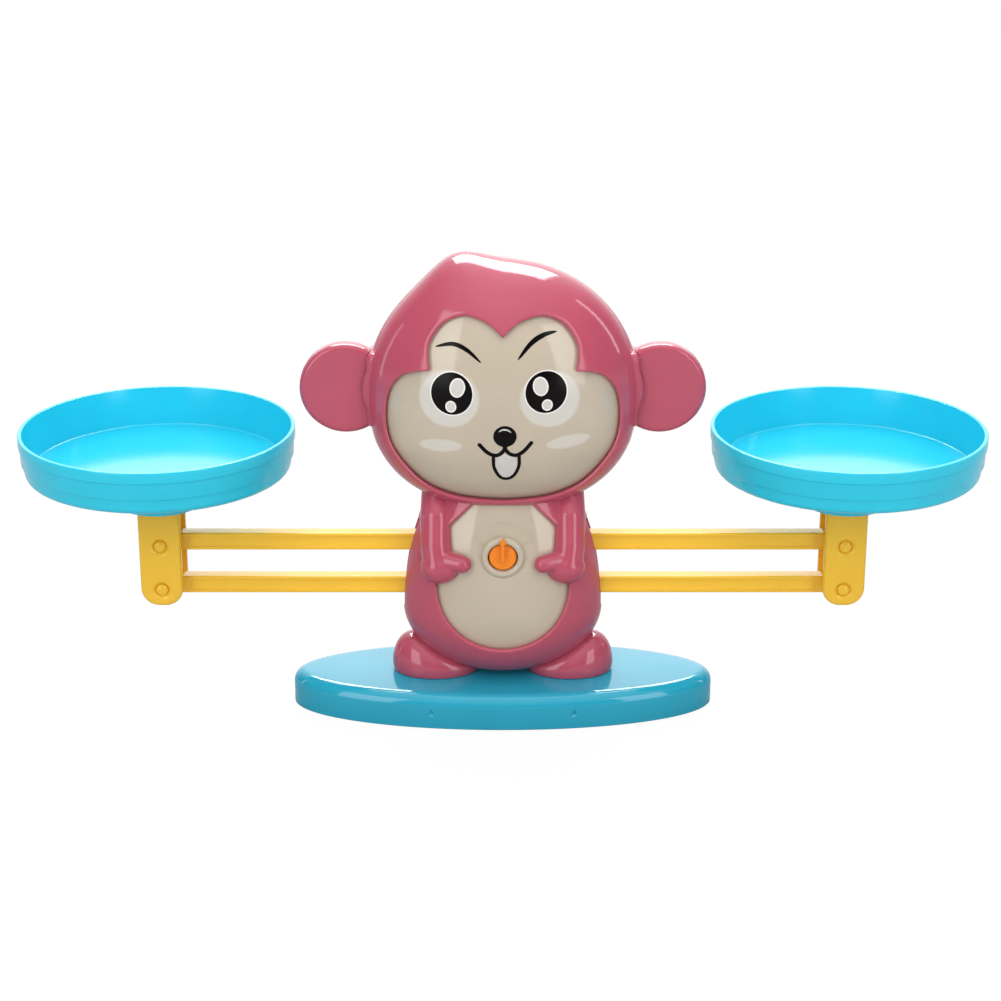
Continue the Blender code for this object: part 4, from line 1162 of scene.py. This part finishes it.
@dataclass
class Base:
    """The oval base: a thick-edged plate, hollow and ribbed below."""

    finishes: Finishes
    half_width: float = 75.0
    half_depth: float = 26.2
    height: float = 12.5
    edge: float = 4.5
    wall: float = 2.2
    boss_x: float = 24.0
    boss_y: float = 4.95
    boss_radius: float = 4.2
    foot_edge: float = 0.5
    rib_pitch: float = 24.0
    rib_half: float = 0.8
    rib_low: float = 3.8
    dimple_x: float = 25.2

    def oval(self, margin: float, low: float, high: float, sectors: int = 200) -> bmesh.types.BMesh:
        """An oval prism, smaller than the base by a margin."""
        bm = bmesh.new()
        size = Matrix.Diagonal((self.half_width - margin, self.half_depth - margin, 1.0, 1.0))
        bmesh.ops.create_circle(bm, cap_ends=True, segments=sectors, radius=1.0,
                                matrix=Matrix.Translation((0.0, 0.0, low)) @ size)
        pull_out(bm, (0.0, 0.0, high - low))
        return bm

    def dimples(self) -> list[bmesh.types.BMesh]:
        """The two small dents in the front edge, with their upper ends drawn to a point."""
        dents = []
        for side in (-1, 1):
            x = side * self.dimple_x
            y = -self.half_depth * math.sqrt(1.0 - (x / self.half_width) ** 2)
            outline = [(x - 1.5, 4.4), (x + 1.5, 4.4), (x + 1.0, 6.4), (x, 8.2), (x - 1.0, 6.4)]
            dent = extruded(list(reversed(outline)), y - 0.3, y + 0.7)
            deep = [vert for vert in dent.verts if vert.co.y > y]
            bmesh.ops.scale(dent, verts=deep, vec=(0.2, 1.0, 0.2),
                            space=Matrix.Translation((-x, 0.0, -5.6)))
            dents.append(dent)
        return dents

    def build(self) -> None:
        """Mould the base."""
        plate = self.oval(0.0, 0.0, self.height)
        rims = [edge for edge in plate.edges if all(abs(vert.co.z - self.height) < 1e-4 for vert in edge.verts)]
        soften(plate, rims, self.edge, 10)
        foot = [edge for edge in plate.edges if all(abs(vert.co.z) < 1e-4 for vert in edge.verts)]
        soften(plate, foot, self.foot_edge, 3)
        room = Solid(self.oval(self.wall, -1.0, self.height - self.wall, 120))
        ribs = [slab((index * self.rib_pitch - self.rib_half, -40.0, self.rib_low),
                     (index * self.rib_pitch + self.rib_half, 40.0, 20.0)) for index in range(-2, 3)]
        room.carve(Carve.CUT, Solid(merged(ribs)))
        posts = [post(self.boss_radius, 1.5, 20.0, side * self.boss_x, self.boss_y) for side in (-1, 1)]
        room.carve(Carve.CUT, Solid(merged(posts)))
        base = Solid(plate).carve(Carve.CUT, room)
        bores = [turned([(0.0, -1.0), (2.9, -1.0), (2.9, 9.5), (1.4, 9.5), (1.4, 20.0), (0.0, 20.0)], 32,
                        (side * self.boss_x, self.boss_y, 0.0)) for side in (-1, 1)]
        base.carve(Carve.CUT, Solid(merged(bores)), Solid(merged(self.dimples())))
        publish(base.take(), "base_moulding", "stand", self.finishes.sea, ["base_plate"])


@dataclass
class Linkage:
    """The two beams, the two hangers and the pins that join them."""

    finishes: Finishes
    arm: float = 120.0
    upper_z: float = 62.1
    lower_z: float = 45.8
    beam_height: float = 6.3
    beam_depth: float = 5.0
    hub: float = 3.6
    hub_half: float = 5.8
    bore: float = 1.6
    middle_bore: float = 1.7
    cells: int = 5
    first_cell: float = 6.4
    recess: float = 0.45
    groove_floor: float = 0.3
    rib: float = 1.4
    lip: float = 1.1
    hanger_width: float = 14.8
    hanger_depth: float = 16.6
    rise: float = 24.0
    tail: float = 5.9
    plate: float = 2.2
    corner: float = 6.4
    web: float = 3.0
    plug_inset: float = 1.1
    plug: float = 2.2

    def beam(self, z: float, name: str, node: str, body: str, hub_front: float) -> None:
        """One beam, with a shallow panel in front and a ribbed groove behind.

        Args:
            z: The height of its pivots.
            name: The piece's name.
            node: The CAD node it stands for.
            body: The body that carries it.
            hub_front: How far forward its middle hub reaches.
        """
        tip = self.beam_height / 2
        outline = rounded((self.arm, z), tip, -90.0, 90.0, 16) + rounded((-self.arm, z), tip, 90.0, 270.0, 16)
        bar = Solid(extruded(outline, -self.beam_depth / 2, self.beam_depth / 2, 0.5, 0.3))
        start, end = self.first_cell, self.arm - self.hanger_width / 2 - 2.8
        half = self.beam_height / 2 - self.lip
        cutters = []
        pitch = (end - start) / self.cells
        for side in (-1, 1):
            low, high = sorted((side * start, side * end))
            cutters.append(slab((low, -6.0, z - half), (high, self.recess - self.beam_depth / 2, z + half), 0.3, 3))
            for cell in range(self.cells):
                low, high = sorted((side * (start + cell * pitch), side * (start + (cell + 1) * pitch - self.rib)))
                cutters.append(slab((low, self.groove_floor, z - half), (high, 6.0, z + half), 0.3, 3))
        bar.carve(Carve.CUT, Solid(merged(cutters)))
        for side in (-1, 1):
            bar.carve(Carve.JOIN, Solid(rod(self.hub, -self.hub_half, self.hub_half, side * self.arm, z, 56)))
        bar.carve(Carve.JOIN, Solid(rod(self.hub, hub_front, 2.8, 0.0, z, 56)))
        bores = [rod(self.bore, -12.0, 12.0, side * self.arm, z) for side in (-1, 1)]
        bar.carve(Carve.CUT, Solid(merged(bores + [rod(self.middle_bore, -40.0, 40.0, 0.0, z)])))
        publish(bar.take(), name, body, self.finishes.yellow, [node])

    def hanger(self, side: Side) -> None:
        """One hanger: two plates with soft edges, a web on top and the plug for the pan."""
        x = side.value * self.arm
        half, deep = self.hanger_width / 2, self.hanger_depth / 2
        top, bottom = self.upper_z + self.rise, self.lower_z - self.tail
        outline = [(x + half, top)]
        outline += rounded((x + half - self.corner, bottom + self.corner), self.corner, 0.0, -90.0, 14)
        outline += rounded((x - half + self.corner, bottom + self.corner), self.corner, -90.0, -180.0, 14)
        outline += [(x - half, top)]
        fork = Solid(extruded(list(reversed(outline)), -deep, deep, 1.25, 0.5))
        gap = deep - self.plate
        fork.carve(Carve.CUT, Solid(slab((x - 20.0, -gap, 0.0), (x + 20.0, gap, top - self.web), 0.8, 3)))
        in_x, in_y = half - self.plug_inset, deep - self.plug_inset
        fork.carve(Carve.JOIN, Solid(slab((x - in_x, -in_y, top - 1.5), (x + in_x, in_y, top + self.plug), 0.3, 2)))
        seat = [(0.0, -12.0), (3.6, -12.0), (3.6, -deep - 0.02), (3.3, -deep + 0.06), (2.9, -deep + 0.3),
                (2.4, -deep + 0.7), (2.3, -deep + 0.95), (1.6, -deep + 1.1), (1.6, 12.0), (0.0, 12.0)]
        seats = [turned(seat, 56, (x, 0.0, z), Axis.DEPTH) for z in (self.upper_z, self.lower_z)]
        fork.carve(Carve.CUT, Solid(merged(seats)))
        publish(fork.take(), side.word + "_fork", side.word + "_carrier", self.finishes.yellow,
                [side.word + "_hanger"])

    def pins(self, side: Side) -> None:
        """The two headed pins of one hanger."""
        deep = self.hanger_depth / 2
        head = [(0.0, -deep - 0.3), (0.7, -deep - 0.27), (1.3, -deep - 0.15), (1.75, -deep + 0.08)]
        head += [(2.05, -deep + 0.38), (2.15, -deep + 0.8), (1.5, -deep + 0.8), (1.5, deep - 0.3),
                 (1.2, deep), (0.0, deep)]
        for level, z in (("upper", self.upper_z), ("lower", self.lower_z)):
            pin = turned(head, 48, (side.value * self.arm, 0.0, z), Axis.DEPTH)
            publish(pin, f"{side.word}_{level}_rivet", side.word + "_carrier", self.finishes.yellow,
                    [f"{side.word}_{level}_pin"])

    def build(self) -> None:
        """Make the whole linkage."""
        dial_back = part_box("pointer_dial")[0].y / MM + 4.0
        self.beam(self.upper_z, "upper_bar", "upper_beam", "upper_arm", dial_back)
        self.beam(self.lower_z, "lower_bar", "lower_beam", "lower_arm", -2.8)
        for side in Side:
            self.hanger(side)
            self.pins(side)


@dataclass
class Pan:
    """A round pan with stepped bands outside, and a ribbed socket below that grips the hanger."""

    finishes: Finishes
    side: Side
    arm: float = 120.0
    rim_radius: float = 47.8
    rim_z: float = 103.7
    floor_z: float = 90.1
    under_z: float = 88.2
    seat_z: float = 86.4
    boss_z: float = 76.1
    boss_radius: float = 15.8
    boss_wall: float = 1.6
    rib_half: float = 0.8
    fit: tuple[float, float] = (7.7, 8.6)
    plug_fit: tuple[float, float] = (6.6, 7.5)
    plug_top: float = 88.6

    def profile(self) -> Path:
        """The section from the boss's lower end, up the outside, over the rim and down to the floor."""
        rim = self.rim_radius
        skirt = self.boss_radius - 0.4
        outside = [(0.0, self.boss_z)] + rounded((skirt - 0.9, self.boss_z + 0.9), 0.9, -90.0, 0.0, 6)
        outside += rounded((self.boss_radius + 1.0, self.under_z - 1.0), 1.0, 180.0, 90.0, 6)
        outside += rounded((rim - 4.3, self.under_z + 2.6), 2.6, -90.0, 0.0, 9)
        outside += [(rim - 1.15, 93.4), (rim - 1.1, 93.6), (rim - 0.8, 93.85), (rim - 0.7, 94.1), (rim - 0.5, 99.3),
                    (rim - 0.45, 99.5), (rim - 0.06, 99.8), (rim - 0.02, 100.0)]
        edge = rounded((rim - 0.5, self.rim_z - 0.5), 0.5, 0.0, 90.0, 5)
        edge += rounded((rim - 1.05, self.rim_z - 0.4), 0.4, 90.0, 180.0, 5)
        inside = rounded((rim - 4.3, self.floor_z + 0.6), 0.6, 0.0, -90.0, 6)
        return outside + edge + inside + [(20.0, self.floor_z), (0.0, self.floor_z)]

    def build(self) -> None:
        """Mould the pan, its skirt and the ribs in it."""
        x = self.side.value * self.arm
        pan = Solid(turned(self.profile(), 192, (x, 0.0, 0.0)))
        room = Solid(post(self.boss_radius - 0.4 - self.boss_wall, 70.0, self.seat_z, x, 0.0, 96))
        for half_x, half_y in ((20.0, self.rib_half), (self.rib_half, 20.0)):
            room.carve(Carve.CUT, Solid(slab((x - half_x, -half_y, self.boss_z), (x + half_x, half_y, 95.0))))
        pan.carve(Carve.CUT, room)
        for (half_x, half_y), low, high in ((self.fit, 70.0, self.seat_z), (self.plug_fit, 80.0, self.plug_top)):
            pan.carve(Carve.CUT, Solid(slab((x - half_x, -half_y, low), (x + half_x, half_y, high))))
        publish(pan.take(), self.side.word + "_dish", self.side.word + "_carrier", self.finishes.sky,
                [self.side.word + "_pan"], 24.0)


@dataclass
class Dial:
    """The orange cap with its raised pointer."""

    finishes: Finishes
    z: float = 62.1
    radius: float = 4.8
    skirt: float = 8.0
    width: float = 1.3
    reach: float = 8.0

    def build(self) -> None:
        """Mould the cap and the pointer in one piece."""
        pointer_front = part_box("pointer_dial")[0].y / MM
        face = pointer_front + 2.1
        back = face + self.skirt
        cup = [(0.0, face)] + rounded((self.radius - 0.5, face + 0.5), 0.5, -90.0, 0.0, 5)
        cup += [(self.radius, back), (self.radius - 0.8, back), (self.radius - 0.8, face + 1.6), (0.0, face + 1.6)]
        cap = Solid(turned(cup, 72, (0.0, 0.0, self.z), Axis.DEPTH))
        half, neck = self.width / 2, self.reach - 2.6
        arrow = [(-half, self.z - half), (half, self.z - half), (half, self.z + neck), (2 * half, self.z + neck),
                 (0.0, self.z + self.reach), (-2 * half, self.z + neck), (-half, self.z + neck)]
        pointer = extruded(arrow, pointer_front, pointer_front + 0.9, 0.18, 0.1, 3)
        stem = slab((-half, pointer_front + 0.45, self.z - half), (half, face + 0.8, self.z + self.radius - 0.5))
        cap.carve(Carve.JOIN, Solid(stem), Solid(pointer))
        publish(cap.take(), "dial_cap", "upper_arm", self.finishes.orange, ["pointer_dial"])


@dataclass
class Screws:
    """Pan-head screws with a cross recess, behind the shells and below the base."""

    finishes: Finishes
    head: float = 2.5
    shank: float = 1.3
    length: float = 8.6
    head_height: float = 1.6

    def screw(self, place: Matrix) -> bmesh.types.BMesh:
        """One screw.

        Args:
            place: Where the seat of its head is; the shank runs along the matrix's +Z.

        Returns:
            A closed mesh.
        """
        profile = [(0.0, -self.head_height), (1.3, -1.5), (2.1, -1.1), (self.head, -0.5), (self.head, 0.0),
                   (self.shank, 0.0), (self.shank, self.length - 1.2), (0.0, self.length)]
        body = Solid(turned(profile, 32))
        body.carve(Carve.CUT, Solid(slab((-1.5, -0.3, -3.0), (1.5, 0.3, -0.7))),
                   Solid(slab((-0.3, -1.5, -3.0), (0.3, 1.5, -0.7))))
        bm = body.take()
        bmesh.ops.transform(bm, verts=bm.verts, matrix=place)
        return bm

    def build(self) -> None:
        """Place every screw where its CAD node is."""
        for name in sorted(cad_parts):
            if "screw" not in name:
                continue
            low, high = (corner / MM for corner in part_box(name))
            middle = (low + high) / 2
            if name.startswith("shell"):
                seat = Matrix.Translation((middle.x, high.y - self.head_height, middle.z))
                seat = seat @ Matrix.Rotation(math.pi / 2, 4, "X")
            else:
                seat = Matrix.Translation((middle.x, middle.y, low.z + self.head_height))
            publish(self.screw(seat), name + "_head", "stand", self.finishes.zinc, [name])


@dataclass
class Studio:
    """The camera, the soft boxes, the world and the floor."""

    pitch: float = 20.34
    distance: float = 842.0
    aim_x: float = -0.8
    aim_z: float = 76.6
    focal_pixels: float = 2400.0
    image_pixels: float = 1001.0
    sensor: float = 36.0
    front_room: float = 0.16
    back_room: float = 2.2
    ceiling: float = 1.2
    lean: float = 0.2
    side_fall: float = 0.8

    def camera(self) -> None:
        """Put the camera where the photo's base, pans and beams agree."""
        data = bpy.data.cameras.new("camera")
        data.sensor_fit = "HORIZONTAL"
        data.sensor_width = self.sensor
        data.lens = self.focal_pixels / self.image_pixels * self.sensor
        data.clip_start = 0.01
        camera = in_scene("camera", data)
        pitch = math.radians(self.pitch)
        camera.location = (self.aim_x * MM, -self.distance * math.cos(pitch) * MM,
                           (self.aim_z + self.distance * math.sin(pitch)) * MM)
        camera.rotation_euler = (math.pi / 2 - pitch, 0.0, 0.0)
        bpy.context.scene.camera = camera

    def soft_box(self, name: str, azimuth: float, elevation: float, distance: float, width: float, height: float,
                 watts: float, mirrored: bool = True, lighting: bool = True) -> None:
        """A rectangular lamp that looks at the balance.

        Args:
            name: The lamp's name.
            azimuth: Degrees from the face's side towards +X.
            elevation: Degrees above the floor.
            distance: Metres from the balance's middle.
            width: Metres.
            height: Metres.
            watts: Its power.
            mirrored: Whether glossy surfaces show it.
            lighting: Whether it lights surfaces, and is not only seen in their gloss.
        """
        data = bpy.data.lights.new(name, "AREA")
        data.shape = "RECTANGLE"
        data.size, data.size_y = width, height
        data.energy = watts
        lamp = in_scene(name, data)
        around, up = math.radians(azimuth), math.radians(elevation)
        away = Vector((math.sin(around) * math.cos(up), -math.cos(around) * math.cos(up), math.sin(up)))
        lamp.location = Vector((0.0, 0.0, 0.08)) + away * distance
        lamp.rotation_euler = away.to_track_quat("Z", "Y").to_euler()
        lamp.visible_glossy = mirrored
        lamp.visible_diffuse = lighting
        lamp.visible_camera = False

    def world(self) -> None:
        """A room that brightens from the camera's side to the top and the backdrop, and is white to the camera."""
        world = bpy.data.worlds.new("studio")
        world.use_nodes = True
        bpy.context.scene.world = world
        tree = world.node_tree
        backdrop = tree.nodes["Background"]
        backdrop.inputs["Color"].default_value = (1.0, 1.0, 1.0, 1.0)
        place = add_node(tree, "ShaderNodeTexCoord")
        parts = add_node(tree, "ShaderNodeSeparateXYZ", {}, {0: place.outputs["Generated"]})
        above = add_node(tree, "ShaderNodeMath", {"operation": "MULTIPLY_ADD", 1: self.lean},
                         {0: parts.outputs["Z"], 2: parts.outputs["Y"]})
        aside = add_node(tree, "ShaderNodeMath", {"operation": "ABSOLUTE"}, {0: parts.outputs["X"]})
        facing = add_node(tree, "ShaderNodeMath", {"operation": "MULTIPLY_ADD", 1: -self.side_fall},
                          {0: aside.outputs[0], 2: above.outputs[0]})
        room = add_node(tree, "ShaderNodeMapRange", {"From Min": -0.25, "From Max": 1.0, "To Min": self.front_room,
                                                     "To Max": self.back_room}, {"Value": facing.outputs[0]})
        height = add_node(tree, "ShaderNodeMath", {"operation": "MULTIPLY_ADD", 1: -0.5},
                          {0: aside.outputs[0], 2: parts.outputs["Z"]})
        ceiling = add_node(tree, "ShaderNodeMapRange", {"From Min": 0.1, "From Max": 0.95, "To Min": 0.0,
                                                        "To Max": self.ceiling}, {"Value": height.outputs[0]})
        both = add_node(tree, "ShaderNodeMath", {"operation": "ADD"},
                        {0: room.outputs["Result"], 1: ceiling.outputs["Result"]})
        path = add_node(tree, "ShaderNodeLightPath")
        level = add_node(tree, "ShaderNodeMix", {"data_type": "FLOAT", 3: 1.0},
                         {0: path.outputs["Is Camera Ray"], 2: both.outputs[0]})
        tree.links.new(level.outputs[0], backdrop.inputs["Strength"])

    def floor(self) -> None:
        """A pale floor that the camera sees white and that keeps the shadow."""
        bm = bmesh.new()
        bmesh.ops.create_grid(bm, x_segments=1, y_segments=1, size=6.0)
        floor = in_scene("floor", as_mesh(bm, "floor"))
        floor.location.z = -0.0002
        made = bpy.data.materials.new("studio floor paint")
        made.use_nodes = True
        tree = made.node_tree
        shader = tree.nodes["Principled BSDF"]
        shader.inputs["Base Color"].default_value = (0.4, 0.4, 0.4, 1.0)
        shader.inputs["Roughness"].default_value = 0.7
        path = add_node(tree, "ShaderNodeLightPath")
        glow = add_node(tree, "ShaderNodeEmission", {"Color": (1.0, 1.0, 1.0, 1.0), "Strength": 1.06})
        share = add_node(tree, "ShaderNodeMapRange", {"To Min": 0.0, "To Max": 0.9},
                         {"Value": path.outputs["Is Camera Ray"]})
        mix = add_node(tree, "ShaderNodeMixShader", {}, {0: share.outputs["Result"], 1: shader.outputs["BSDF"],
                                                         2: glow.outputs["Emission"]})
        tree.links.new(mix.outputs["Shader"], tree.nodes["Material Output"].inputs["Surface"])
        floor.data.materials.append(made)

    def build(self) -> None:
        """Set up the whole studio."""
        self.camera()
        self.world()
        self.floor()
        self.soft_box("left box", -38.0, 17.0, 1.4, 0.59, 1.07, 5.8)
        self.soft_box("right box", 40.0, 17.0, 1.4, 0.49, 1.07, 4.8)
        self.soft_box("left edge strip", -98.0, 6.0, 1.3, 0.10, 0.9, 0.6)
        self.soft_box("right edge strip", 98.0, 28.0, 1.3, 0.10, 0.9, 1.4)
        self.soft_box("crown strip", 180.0, 58.0, 1.3, 1.10, 0.80, 38.0, lighting=False)
        self.soft_box("sky panel", 0.0, 48.0, 0.6, 0.60, 0.45, 0.85, mirrored=False)
        bpy.context.scene.view_settings.view_transform = "Standard"


def carried_over(finishes: Finishes) -> None:
    """Give the CAD nodes that stay their real finish."""
    for name in ("upper_pivot_pin", "lower_pivot_pin"):
        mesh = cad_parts[name].data
        mesh.materials.clear()
        mesh.materials.append(finishes.zinc)


def main() -> None:
    """Build and dress the balance, piece by piece."""
    logging.basicConfig(level=logging.INFO, format="%(message)s")
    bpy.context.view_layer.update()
    finishes = Finishes()
    Studio().build()
    monkey = Monkey(finishes)
    monkey.build()
    Panels(finishes).build()
    FacePrint(finishes).build()
    Ears(finishes, monkey).build()
    Base(finishes).build()
    Linkage(finishes).build()
    for side in Side:
        Pan(finishes, side).build()
    Dial(finishes).build()
    Screws(finishes).build()
    carried_over(finishes)


if __name__ == "__main__":
    main()
